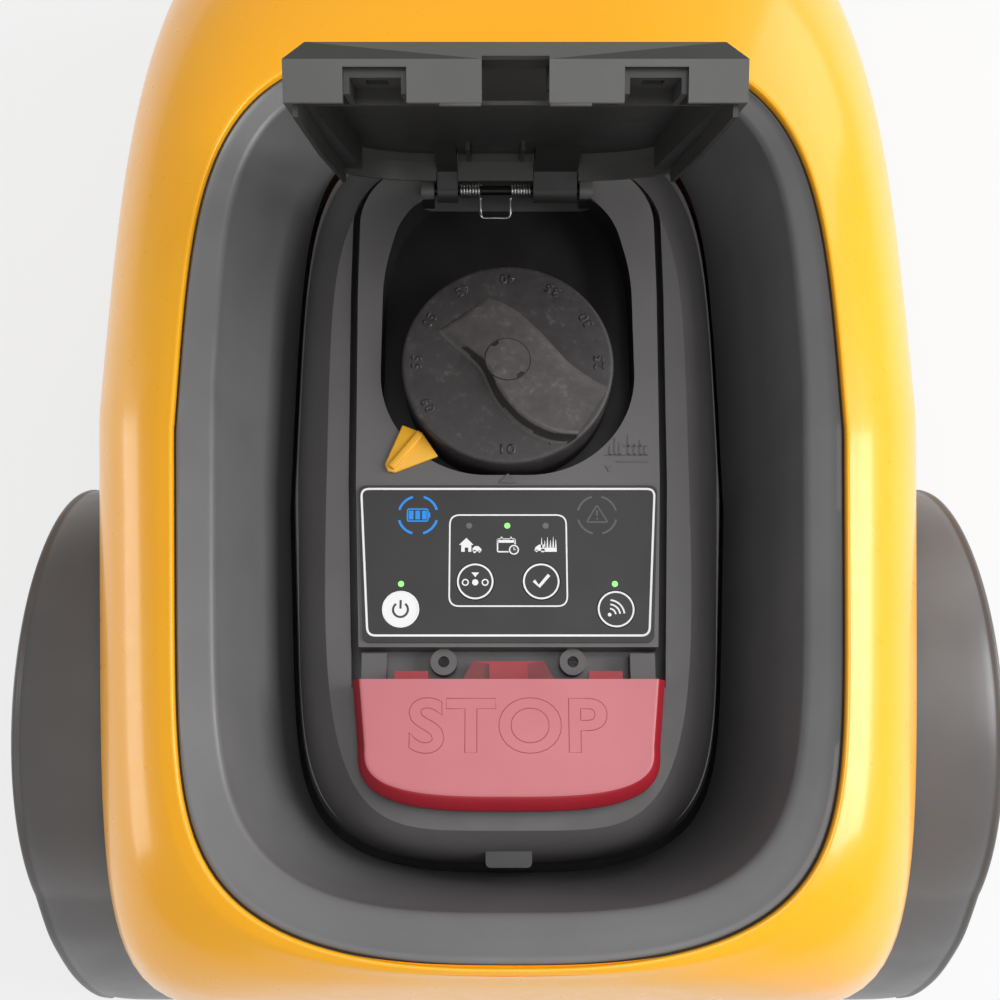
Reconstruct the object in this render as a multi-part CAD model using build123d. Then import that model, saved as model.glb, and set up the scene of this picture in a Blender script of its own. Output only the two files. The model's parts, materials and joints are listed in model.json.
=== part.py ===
"""Robotic lawn mower with a flip-up lid over its controls.

Millimetres. X right, Y towards the nose, Z up. The origin is on the ground, under the middle of the
overall box. One STEP file per separate piece goes to parts/.
"""
from build123d import *
import math
import os

os.makedirs("parts", exist_ok=True)

# ---- driving dimensions ------------------------------------------------------------------------
NOSE_Y, TAIL_Y = 300.0, -300.0        # overall length
FENDER_X = 202.0                      # outer face of the wheel arches
COVER_TOP = 264.0                     # top of the outer cover
HEM_Z = 95.0                          # lower edge of the outer cover
SKIN = 3.0                            # moulded wall of covers and housings

RIM_Z, CREASE_Z, BOWL_Z = 262.0, 255.0, 185.0   # trough liner: rim, inner crease, lower edge
ISLAND_Z = 222.0                      # flat top of the console base
PANEL_Z = 224.0                       # top of the console panel
OVERLAY_Z = 224.8                     # top of the keypad film

WHEEL_Y, WHEEL_R, WHEEL_W = -157.0, 92.0, 36.0
WHEEL_X = 175.0                       # middle of the drive wheel
ARCH_R = 105.0                        # outer radius of the wheel arch
CASTER_X, CASTER_Y, CASTER_TRAIL = 92.0, 205.0, 20.0
CASTER_R, CASTER_W = 36.0, 26.0

AXIS_Y = -35.0                        # knob, cutting deck and disc share this upright axis
KNOB_R, KNOB_FACE, GRIP_Z = 43.5, 230.0, 234.5
DISC_R, DISC_Z = 72.0, 40.0           # cutting disc and its lower face
BLADE_PIVOT_R, BLADE_REACH = 62.0, 32.0
CHAMBER_R, CHAMBER_TOP = 100.0, 112.0

FLOOR_Z, NOSE_FLOOR_Z, DECK_Z = 50.0, 101.0, 143.0   # chassis floor, raised nose floor, deck top

HINGE_Y, HINGE_Z = 49.0, 222.0        # lid hinge pin
LID_OPEN = 66.0                       # degrees from shut to open
LID_END = -163.6                      # free end of the shut lid
STOP_FRONT, STOP_REAR, STOP_HW = -165.0, -213.3, 59.5
STOP_TOP = 236.0
STOP_PIVOT_Y, STOP_PIVOT_Z = -206.5, 226.0

FIT = 0.05                            # radial clearance of shafts in their bores
GAP = 0.3                             # clearance round pieces that move

KEYS = {"power": (-42.2, -136.2), "select": (-13.0, -125.1),
        "confirm": (13.0, -125.1), "wireless": (42.2, -136.2)}
KEY_R = 7.3
LAMPS = [(-15.5, -102.4), (-0.3, -102.4), (15.0, -102.4), (-42.2, -126.1), (42.0, -126.1)]


# ---- helpers -----------------------------------------------------------------------------------
def save(name, shape):
    """Write one piece to its own STEP file."""
    shape.label = name
    export_step(shape, f"parts/{name}.step")


def block(x0, x1, y0, y1, z0, z1):
    """Box between two opposite corners."""
    return Pos((x0 + x1) / 2, (y0 + y1) / 2, (z0 + z1) / 2) * Box(abs(x1 - x0), abs(y1 - y0), abs(z1 - z0))


def post(x, y, z0, z1, r):
    """Upright cylinder."""
    return Pos(x, y, (z0 + z1) / 2) * Cylinder(r, z1 - z0)


def bar_x(x0, x1, y, z, r):
    """Cylinder along X."""
    return Pos((x0 + x1) / 2, y, z) * Rot(0, 90, 0) * Cylinder(r, abs(x1 - x0))


def prism_z(face, z0, z1):
    """A face drawn in XY, raised from z0 to z1."""
    return extrude(Pos(0, 0, z0) * face, amount=z1 - z0, dir=(0, 0, 1))


def prism_x(points, x0, x1):
    """A side outline of (y, z) points, raised from x0 to x1."""
    face = make_face(Polyline(*[(x0, y, z) for y, z in points], close=True))
    return extrude(face, amount=x1 - x0, dir=(1, 0, 0))


def mirrored(shape):
    """The same piece on the other side of the machine."""
    return mirror(shape, about=Plane.YZ)


def both(shape):
    """A piece and its mirror image, kept as separate solids."""
    return Compound(shape.solids() + mirrored(shape).solids())


def egg(half, front, rear, wide, p_front, p_rear, taper=0.0, q_rear=None, count=72):
    """Egg-shaped outline, widest at y = wide, as points spaced evenly from the nose round past +X.

    The front is a superellipse of power p_front. The rear uses p_rear across, q_rear along, and a taper."""
    q_rear = q_rear or p_rear
    fine = 1200
    line = []
    for i in range(fine + 1):
        t = math.pi / 2 - math.pi * i / fine
        c, s = max(0.0, math.cos(t)), math.sin(t)
        along = abs(s) ** (2 / (p_front if s > 0 else q_rear))
        x = half * c ** (2 / (p_front if s > 0 else p_rear)) * (1 - (taper * along if s < 0 else 0))
        line.append((x, wide + along * ((front - wide) if s > 0 else (rear - wide))))
    lengths = [0.0]
    for a, b in zip(line, line[1:]):
        lengths.append(lengths[-1] + math.dist(a, b))
    side = []
    j = 0
    for k in range(count // 2 + 1):
        target = lengths[-1] * k / (count // 2)
        while j < fine - 1 and lengths[j + 1] < target:
            j += 1
        f = (target - lengths[j]) / max(1e-9, lengths[j + 1] - lengths[j])
        side.append(tuple(u + f * (v - u) for u, v in zip(line[j], line[j + 1])))
    side[0], side[-1] = (0.0, front), (0.0, rear)
    return side + [(-x, y) for x, y in side[-2:0:-1]]


def ring_face(*outline):
    """Filled egg outline."""
    return make_face(Spline(*egg(*outline), periodic=True))


def stack(sections, ruled=False):
    """Loft through (z, outline) pairs."""
    return loft([Pos(0, 0, z) * ring_face(*outline) for z, outline in sections], ruled=ruled)


def grown(outline, d):
    """The same egg, larger by d all round."""
    half, front, rear, *shape = outline
    return (half + d, front + d, rear - d, *shape)


def spring_solid(length, coil_r, wire_r, turns):
    """Close-wound spring as one ring-grooved sleeve along Z, starting at z = 0."""
    pitch = length / turns
    inner = coil_r - wire_r * 0.8
    face = make_face(Polyline((inner, 0), (coil_r, 0), (coil_r, length), (inner, length), close=True))
    for i in range(turns):
        face += Pos(coil_r, pitch * (i + 0.5)) * Circle(min(wire_r, pitch / 2 - 0.02))
    return revolve(Plane.XZ * face, axis=Axis.Z)


# ---- outlines ----------------------------------------------------------------------------------
SEAM = (126.0, 92.0, -264.8, -75.5, 3.95, 2.5, 0.11, 8.0)     # joint between cover and trough liner
CREASE = (113.6, 83.4, -248.1, -53.0, 4.05, 3.1, 0.107, 8.0)  # inner edge of the liner's rim
BOWL = (93.8, 88.0, -235.5, -86.0, 5.0, 2.85, 0.106, 8.0)     # lower edge of the liner's wall
ISLAND = (82.0, 74.0, -228.0, -40.0, 3.4, 4.8, 0.03, 4.8)     # flat top of the console base, plus 8
SHOULDER = (87.0, 81.0, -230.2, -70.0, 4.3, 3.3, 0.085, 7.0)  # console base half way down its shoulder

# outer cover, from its hem to the edge round the trough
COVER = [
    (HEM_Z, (187.0, 299.0, -290.0, -5.0, 2.6, 9.5, 0.112, 8.0)),
    (120.0, (188.5, 300.0, -291.0, -5.0, 2.6, 9.5, 0.112, 8.0)),
    (150.0, (187.0, 298.0, -290.5, -12.0, 2.7, 9.8, 0.114, 8.0)),
    (175.0, (182.5, 287.0, -288.5, -25.0, 2.9, 10.2, 0.117, 8.0)),
    (200.0, (175.0, 258.0, -284.8, -42.0, 3.3, 10.6, 0.12, 8.0)),
    (215.0, (170.3, 228.0, -281.5, -52.0, 3.65, 10.5, 0.121, 8.0)),
    (228.0, (165.8, 203.0, -278.6, -58.0, 3.75, 9.0, 0.12, 8.0)),
    (240.0, (159.5, 176.0, -275.2, -64.0, 3.8, 6.5, 0.118, 8.0)),
    (250.0, (151.5, 150.0, -272.0, -69.0, 3.85, 4.6, 0.115, 8.0)),
    (258.0, (141.0, 123.0, -268.8, -73.0, 3.9, 3.3, 0.112, 8.0)),
    (COVER_TOP, (129.5, 96.5, -266.0, -75.5, 3.95, 2.6, 0.11, 8.0)),
]


def panel_half(y):
    """Half-width of the console panel at y."""
    bend = -84.0
    return 63.0 + 0.02 * min(0.0, max(y, bend)) + 0.045 * min(0.0, y - bend)


def panel_face(side=0.0, end=0.0, rear=-166.0, front=61.5, corner=30.0):
    """Plan of the console panel, grown by side and end, with rounded front corners."""
    flank = [(panel_half(y) + side, y) for y in (rear - end, -84.0, 0.0)]
    half, top = panel_half(0) + side, front + end
    mid = corner * math.sqrt(0.5)
    outline = [Polyline((-flank[0][0], flank[0][1]), *flank, (half, top - corner))]
    outline.append(ThreePointArc((half, top - corner), (half - corner + mid, top - corner + mid), (half - corner, top)))
    outline.append(Line((half - corner, top), (corner - half, top)))
    outline.append(ThreePointArc((corner - half, top), (corner - half - mid, top - corner + mid), (-half, top - corner)))
    outline.append(Polyline((-half, top - corner), *[(-x, y) for x, y in reversed(flank)]))
    return make_face(outline)


def rounded_polygon(points, radii):
    """Closed outline with a radius at each corner; 0 leaves the corner sharp."""
    sketch = Sketch() + make_face(Polyline(*points, close=True))
    for (x, y), r in zip(points, radii):
        if r > 0:
            near = sorted(sketch.vertices(), key=lambda v: math.hypot(v.X - x, v.Y - y))[0]
            sketch = fillet([near], r)
    return sketch


def pocket_face(grow=0.0):
    """Plan of the knob pocket, which runs forward to the lid hinge."""
    g = grow
    half, neck, tip = 52.5 + g, 46.0 + g, 31.0 + g
    right = [(half, -81.0 - g), (half, 8.0), (neck, 34.0), (tip, 50.0), (tip, 57.0 + g)]
    left = [(-x, y) for x, y in reversed(right)]
    radii = [44.0 + g, 90.0, 32.0, 8.0, 0]
    return rounded_polygon(right + left, radii + radii[::-1])


# ---- outer cover and trough liner ---------------------------------------------------------------
def cover_pieces():
    outer = stack(COVER)
    inner = stack([(z - (0 if z > HEM_Z else 4), grown(o, -SKIN)) for z, o in COVER[:-1]]
                  + [(COVER_TOP - SKIN, grown(COVER[-1][1], -SKIN - 1))])
    shell = outer - inner
    shell -= stack([(200.0, grown(SEAM, GAP)), (COVER_TOP + 10, grown(SEAM, GAP))], ruled=True)
    for side in (-1, 1):
        shell -= bar_x(side * 120, side * 230, WHEEL_Y, WHEEL_R, ARCH_R + 6)
        shell -= block(side * 120, side * 230, WHEEL_Y - ARCH_R - 6, WHEEL_Y + ARCH_R + 6, 60, WHEEL_R)
        tail = prism_x([(-250, 60), (-256, 147), (-265, 134), (-276, 114), (-300, 66), (-300, 60)], 140, 220)
        shell -= tail if side > 0 else mirrored(tail)
    save("outer_cover", shell)

    rim = grown(SEAM, -GAP)
    body = stack([(BOWL_Z, grown(BOWL, 2.5)), (CREASE_Z - 3.5, grown(CREASE, 2.5)),
                  (RIM_Z - 2.6, rim), (RIM_Z, rim)], ruled=True)
    void = stack([(BOWL_Z, BOWL), (CREASE_Z, CREASE), (RIM_Z, grown(SEAM, -GAP - 0.6)),
                  (RIM_Z + 3, grown(SEAM, 3))], ruled=True)
    body -= void
    for x, y in FLOAT_PINS:
        rib = block(0.72 * x, x, y - 1.5, y + 1.5, BOWL_Z + 3, BOWL_Z + 17)
        boss = post(x, y, FLOAT_Z + 3, FLOAT_Z + 30, 10) + rib
        boss -= stack([(BOWL_Z - 15, grown(BOWL, 1.0)), (CREASE_Z, grown(CREASE, 1.0))], ruled=True)
        body += boss
    for x, y in FLOAT_PINS:
        body -= post(x, y, FLOAT_Z - 5, FLOAT_Z + 25.5, 6 + FIT)
    save("trough_liner", body)


FLOAT_Z = 172.0                                          # underside of the float frame
FLOAT_PINS = [(115, 40), (-115, 40), (112, -165), (-112, -165)]


def float_pieces():
    outline = (150.0, 130.0, -262.0, 0.0, 2.8, 5.0, 0.08, 5.0)
    ring = prism_z(ring_face(*outline), FLOAT_Z, FLOAT_Z + 3) - prism_z(
        ring_face(*grown(BOWL, 5)), FLOAT_Z - 1, FLOAT_Z + 4)
    for side in (-1, 1):
        ring -= block(side * 138, side * 200, WHEEL_Y - ARCH_R - 8, WHEEL_Y + ARCH_R + 8,
                      FLOAT_Z - 1, FLOAT_Z + 4)
    for x, y in FLOAT_PINS:
        ring += post(x, y, FLOAT_Z, FLOAT_Z + 25, 6)
    save("float_frame", ring)
    mounts = []
    for x, y in FLOAT_PINS:
        base = (x, y)
        column = post(*base, DECK_Z, FLOAT_Z - GAP, 9)
        for z in (DECK_Z + 7, DECK_Z + 14, DECK_Z + 21):
            column += Pos(x, y, z) * Cylinder(12, 2.5)
        mounts.append(column)
    save("float_mounts", Compound([m.solid() for m in mounts]))


# ---- chassis -----------------------------------------------------------------------------------
CHASSIS = (146.0, 262.0, -262.0, 0.0, 2.6, 5.0, 0.05, 5.0)
CHASSIS_SIDE = [(-270, FLOOR_Z), (118, FLOOR_Z), (138, NOSE_FLOOR_Z), (280, NOSE_FLOOR_Z),
                (280, DECK_Z - 3), (-270, DECK_Z - 3)]
BATTERY = (62.0, -250.0, -192.0)                         # half-width, rear and front of the pack
CASTER_TOP = 124.0                                       # top of the caster sockets


def chassis_pieces():
    outer = prism_z(ring_face(*CHASSIS), 40, 200) & prism_x(CHASSIS_SIDE, -200, 200)
    inner_side = [(y + (SKIN if y > 0 and z < 60 else 0), z + SKIN) for y, z in CHASSIS_SIDE]
    inner = prism_z(ring_face(*grown(CHASSIS, -SKIN)), 40, 200) & prism_x(inner_side, -200, 200)
    tub = outer - inner
    tub += post(0, AXIS_Y, FLOOR_Z - 10, CHAMBER_TOP, CHAMBER_R + SKIN)
    tub -= post(0, AXIS_Y, FLOOR_Z - 20, CHAMBER_TOP - SKIN, CHAMBER_R)
    tub -= post(0, AXIS_Y, CHAMBER_TOP - 10, CHAMBER_TOP + 5, CARRIER_R + 1)
    for side in (-1, 1):
        tub += post(side * CASTER_X, CASTER_Y, NOSE_FLOOR_Z, CASTER_TOP, 15)
        tub -= post(side * CASTER_X, CASTER_Y, NOSE_FLOOR_Z - 5, CASTER_TOP - 4, CASTER_STEM + FIT)
        tub -= bar_x(side * 120, side * 160, WHEEL_Y, WHEEL_R, 17)
    half, rear, front = BATTERY
    tub -= block(-half - 2, half + 2, rear, front, FLOOR_Z - 5, FLOOR_Z + SKIN)
    for x in (-32, 32):
        tub -= block(x - 8, x + 8, 222, 248, NOSE_FLOOR_Z - 1, NOSE_FLOOR_Z + 5)
    save("chassis_tub", tub)

    deck = prism_z(ring_face(*CHASSIS), DECK_Z - 3, DECK_Z)
    deck -= post(0, AXIS_Y, DECK_Z - 10, DECK_Z + 10, CARRIER_R + 1)
    for x, y in SCREWS_DECK:
        deck -= post(x, y, DECK_Z - 10, DECK_Z + 5, 2.2)
    save("chassis_deck", deck)
    screws = [post(x, y, DECK_Z, DECK_Z + 2.4, 4) + post(x, y, DECK_Z - 3, DECK_Z, 2.2)
              for x, y in SCREWS_DECK]
    cover_screws = [post(x, y, FLOOR_Z - 7.4, FLOOR_Z - 5, 3.6) + post(x, y, FLOOR_Z - 5, FLOOR_Z, 1.9)
                    for x, y in SCREWS_BATTERY]
    save("chassis_screws", Compound([s.solid() for s in screws + cover_screws]))

    lid = block(-half - 14, half + 14, rear - 4, front + 8, FLOOR_Z - 3, FLOOR_Z)
    lid = fillet(lid.edges().filter_by(Axis.Z), 6) + block(-half, half, rear + 2, front - 2, FLOOR_Z, FLOOR_Z + 3)
    for x, y in SCREWS_BATTERY:
        lid += post(x, y, FLOOR_Z - 5, FLOOR_Z, 5.5)
        lid -= post(x, y, FLOOR_Z - 6, FLOOR_Z + 1, 1.9)
    save("battery_cover", lid)
    pack = block(-half + 1, half - 1, rear + 3, front - 3, FLOOR_Z + 4, FLOOR_Z + 66)
    pack = fillet(pack.edges().filter_by(Axis.Z), 5)
    save("battery_pack", pack)

    board = block(-62, 62, 150, 236, 112, 113.6)
    board += block(-48, -12, 168, 204, 113.6, 118) + block(8, 44, 162, 178, 113.6, 122)
    board += block(8, 50, 196, 224, 113.6, 117)
    for x in (-40, -25, -10):
        board += post(x, 220, 113.6, 128, 5)
    for x, y in [(-56, 156), (56, 156), (-56, 230), (56, 230)]:
        board += post(x, y, NOSE_FLOOR_Z + SKIN, 112, 4)
    save("main_board", board)

    pad = block(-8, 8, -13, 13, NOSE_FLOOR_Z - 1.2, NOSE_FLOOR_Z + 3)
    pad = Pos(32, 235, 0) * fillet(pad.edges().filter_by(Axis.Z), 3)
    save("charge_contacts", both(pad))


SCREWS_DECK = [(118, 90), (-118, 90), (124, -60), (-124, -60), (60, 205), (-60, 205), (80, -245), (-80, -245)]
SCREWS_BATTERY = [(70, -246), (-70, -246), (70, -192), (-70, -192)]


def fender():
    """Right wheel arch: a roof over the wheel with a short outer lip, an inner wall and a rear tail."""
    inner_x, wall = 148.0, 3.0
    roof = bar_x(inner_x, FENDER_X, WHEEL_Y, WHEEL_R, ARCH_R)
    roof = fillet(roof.edges().filter_by(GeomType.CIRCLE).sort_by(Axis.X)[-1], 9)
    void = bar_x(inner_x + wall, FENDER_X - wall, WHEEL_Y, WHEEL_R, ARCH_R - wall)
    void = fillet(void.edges().filter_by(GeomType.CIRCLE).sort_by(Axis.X)[-1], 6)
    roof -= void
    roof -= bar_x(FENDER_X - 10, FENDER_X + 5, WHEEL_Y, WHEEL_R, ARCH_R - 13)
    roof -= block(inner_x - 1, FENDER_X + 1, WHEEL_Y - 120, WHEEL_Y + 120, -20, WHEEL_R + 8)
    front_cut = [(WHEEL_Y + 88, WHEEL_R), (WHEEL_Y + 130, WHEEL_R), (WHEEL_Y + 130, WHEEL_R + 30)]
    roof -= prism_x(front_cut, inner_x - 1, FENDER_X + 1)
    side = [(WHEEL_Y - 102.3, WHEEL_R + 23), (WHEEL_Y - 124, WHEEL_R - 8), (TAIL_Y, 30), (TAIL_Y, 14),
            (TAIL_Y + 3, 14), (TAIL_Y + 4, 30), (WHEEL_Y - 120, WHEEL_R - 10), (WHEEL_Y - 101.5, WHEEL_R + 10)]
    tail = prism_x(side, inner_x, FENDER_X)
    panel_side = [(WHEEL_Y - 101, WHEEL_R + 22), (WHEEL_Y - 123, WHEEL_R - 8), (TAIL_Y + 1, 30),
                  (TAIL_Y + 1, 14), (TAIL_Y + 30, 14), (WHEEL_Y - 60, WHEEL_R - 30), (WHEEL_Y - 60, WHEEL_R + 22)]
    side_panel = prism_x(panel_side, FENDER_X - wall, FENDER_X)
    side_panel -= bar_x(FENDER_X - 10, FENDER_X + 5, WHEEL_Y, WHEEL_R, WHEEL_R + 4)
    tail += side_panel
    wall_plate = bar_x(inner_x, inner_x + wall, WHEEL_Y, WHEEL_R, ARCH_R - 1)
    wall_plate -= block(inner_x - 1, inner_x + wall + 1, WHEEL_Y - 120, WHEEL_Y + 120, -20, 62)
    wall_plate -= bar_x(inner_x - 1, inner_x + wall + 1, WHEEL_Y, WHEEL_R, 18)
    return roof + tail + wall_plate


def fender_pieces():
    right = fender()
    save("fender_right", right)
    save("fender_left", mirrored(right))


# ---- drive wheels ------------------------------------------------------------------------------
AXLE_R = 7.0


def tyre():
    """Tyre with rows of slanted lugs, about the X axis at the origin."""
    half = WHEEL_W / 2
    section = make_face(Polyline((70, -half + 3), (80, -half), (86, -half + 1), (88, -half + 4),
                                 (88, half - 4), (86, half - 1), (80, half), (70, half - 3), close=True))
    ring = revolve(Plane.XZ * section, axis=Axis.Z)
    lug = Pos(WHEEL_R - 4.5, 0, 0) * Rot(24, 0, 0) * Box(9, 6.5, WHEEL_W - 5)
    lugs = [Rot(0, 0, 360 / 24 * i) * lug for i in range(24)]
    ring += lugs
    ring &= Cylinder(WHEEL_R, WHEEL_W + 2)
    ring -= Cylinder(70.0, WHEEL_W + 2)
    return ring


def rim():
    """Rim with spokes and hub, about Z at the origin; the outer face is at +Z."""
    half = WHEEL_W / 2
    barrel = Cylinder(70, WHEEL_W - 6) - Cylinder(66, WHEEL_W)
    plate = Pos(0, 0, half - 11) * (Cylinder(67, 5) - Cylinder(19, 8))
    for i in range(6):
        window = Rot(0, 0, 60 * i + 30) * Pos(46, 0, half - 11) * Cylinder(11, 10)
        plate -= window
    hub = Pos(0, 0, -3) * Cylinder(20, WHEEL_W - 6)
    cap = Pos(0, 0, half - 3) * Cylinder(15, 6)
    return barrel + plate + hub + cap - Pos(0, 0, -half) * Cylinder(AXLE_R, 2 * (WHEEL_W - 8))


def wheel_pieces():
    turn = Pos(WHEEL_X, WHEEL_Y, WHEEL_R) * Rot(0, 90, 0)
    right_tyre, right_rim = turn * tyre(), turn * rim()
    axle = bar_x(108, WHEEL_X + WHEEL_W / 2 - 8, WHEEL_Y, WHEEL_R, AXLE_R)
    for name, piece in (("tyre", right_tyre), ("rim", right_rim), ("axle", axle)):
        save(f"{name}_right", piece)
        save(f"{name}_left", mirrored(piece))
    motor = bar_x(28, 84, WHEEL_Y, WHEEL_R, 21) + bar_x(84, 106, WHEEL_Y, WHEEL_R, 28)
    motor += bar_x(106, 134, WHEEL_Y, WHEEL_R, 15)
    motor -= bar_x(100, 140, WHEEL_Y, WHEEL_R, AXLE_R + 1)
    motor += block(70, 106, WHEEL_Y - 20, WHEEL_Y + 20, FLOOR_Z + SKIN, WHEEL_R - 18)
    save("drive_motor_right", motor)
    save("drive_motor_left", mirrored(motor))
    bearing = bar_x(134, 147.5, WHEEL_Y, WHEEL_R, 16.9) - bar_x(130, 150, WHEEL_Y, WHEEL_R, AXLE_R + FIT)
    save("wheel_bearings", both(bearing))


# ---- casters -----------------------------------------------------------------------------------
CASTER_STEM = 8.0
CASTER_PIN = 4.0


def caster_pieces():
    wheel_y = CASTER_Y - CASTER_TRAIL
    half = CASTER_W / 2
    crown = block(CASTER_X - half - 6, CASTER_X + half + 6, wheel_y - 14, CASTER_Y + 14, 78, 85)
    crown = fillet(crown.edges().filter_by(Axis.Z), 10)
    fork = crown + post(CASTER_X, CASTER_Y, 85, NOSE_FLOOR_Z - 1, 13)
    fork += post(CASTER_X, CASTER_Y, NOSE_FLOOR_Z - 1, CASTER_TOP - 6, CASTER_STEM)
    leg_side = [(wheel_y - 9, CASTER_R - 9), (wheel_y + 9, CASTER_R - 9), (CASTER_Y + 6, 79), (wheel_y - 10, 79)]
    for x0 in (CASTER_X - half - 6, CASTER_X + half + 2):
        fork += prism_x(leg_side, x0, x0 + 4)
    fork -= bar_x(CASTER_X - 30, CASTER_X + 30, wheel_y, CASTER_R, CASTER_PIN)
    pin = bar_x(CASTER_X - half - 7, CASTER_X + half + 7, wheel_y, CASTER_R, CASTER_PIN)
    wheel = bar_x(CASTER_X - half, CASTER_X + half, wheel_y, CASTER_R, CASTER_R)
    wheel = fillet(wheel.edges().filter_by(GeomType.CIRCLE), 7)
    for x0, x1 in ((CASTER_X - half - 1, CASTER_X - half + 6), (CASTER_X + half - 6, CASTER_X + half + 1)):
        wheel -= bar_x(x0, x1, wheel_y, CASTER_R, 24) - bar_x(x0, x1, wheel_y, CASTER_R, 9)
    wheel -= bar_x(CASTER_X - 20, CASTER_X + 20, wheel_y, CASTER_R, CASTER_PIN + FIT)
    for name, piece in (("caster_fork", fork), ("caster_pin", pin), ("caster_wheel", wheel)):
        save(f"{name}_right", piece)
        save(f"{name}_left", mirrored(piece))


# ---- cutting deck ------------------------------------------------------------------------------
CARRIER_R = 45.0
GUIDES = [(54 * math.cos(math.radians(a)), AXIS_Y + 54 * math.sin(math.radians(a))) for a in (30, 150, 270)]
SHAFT_R = 10.0


def deck_pieces():
    cup = post(0, AXIS_Y, 62, 154, CARRIER_R) - post(0, AXIS_Y, 66, 160, CARRIER_R - SKIN)
    cup += post(0, AXIS_Y, 150, 158, SHAFT_R + 8)
    for x, y in GUIDES:
        cup += post(x, y, 154, 158, 9)
        arm = Pos(x / 2, (y + AXIS_Y) / 2, 156) * Rot(0, 0, math.degrees(math.atan2(y - AXIS_Y, x))) * Box(54, 12, 4)
        cup += arm
    cup += post(0, AXIS_Y, 154, 158, CARRIER_R) - post(0, AXIS_Y, 150, 160, CARRIER_R - 5)
    cup -= post(0, AXIS_Y, 140, 170, SHAFT_R + FIT)
    for x, y in GUIDES:
        cup -= post(x, y, 150, 165, 4 + FIT)
    cup -= post(0, AXIS_Y, 60, 70, 8)
    save("deck_carrier", cup)
    motor = post(0, AXIS_Y, 66, 100, 31) + post(0, AXIS_Y, 62, 66, 7.9)
    motor = chamfer(motor.edges().filter_by(GeomType.CIRCLE).sort_by(Axis.Z)[-1], 2)
    motor += post(0, AXIS_Y, DISC_Z + 12, 62, 4)
    save("blade_motor", motor)
    guides = [post(x, y, DECK_Z, 195, 4) + post(x, y, DECK_Z, DECK_Z + 2, 8) for x, y in GUIDES]
    save("deck_guides", Compound([g.solid() for g in guides]))

    disc = post(0, AXIS_Y, DISC_Z, DISC_Z + 3, DISC_R) + post(0, AXIS_Y, DISC_Z + 3, DISC_Z + 18, 16)
    disc -= post(0, AXIS_Y, DISC_Z + 11.5, 70, 4 + FIT)
    disc -= post(0, AXIS_Y, DISC_Z - 1, DISC_Z + 9, 3)
    screws = [post(0, AXIS_Y, DISC_Z, DISC_Z + 8, 3) + post(0, AXIS_Y, DISC_Z - 3, DISC_Z, 8)]
    blade_plan = [(-8, -8), (BLADE_REACH, -8), (BLADE_REACH, 8), (-8, 8)]
    blade = prism_z(rounded_polygon(blade_plan, [6, 1, 1, 6]), DISC_Z - 2.2, DISC_Z - 1.2)
    blade -= Cylinder(3 + FIT, 200)
    for i in range(3):
        angle = 90 + 120 * i
        place = Pos(0, AXIS_Y, 0) * Rot(0, 0, angle) * Pos(BLADE_PIVOT_R, 0, 0)
        save(f"blade_{i + 1}", place * blade)
        bolt = place * (post(0, 0, DISC_Z - 3, DISC_Z + 3, 3) + post(0, 0, DISC_Z - 5, DISC_Z - 2.8, 6)
                        + post(0, 0, DISC_Z + 3, DISC_Z + 5, 5))
        screws.append(bolt)
        disc -= place * post(0, 0, DISC_Z - 2, DISC_Z + 4, 3)
    for i in range(6):
        slot = Pos(0, AXIS_Y, DISC_Z) * Rot(0, 0, 60 * i) * Pos(38, 0, 0) * Cylinder(8, 10)
        disc -= slot
    save("cutting_disc", disc)
    save("disc_screws", Compound([s.solid() for s in screws]))


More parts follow.
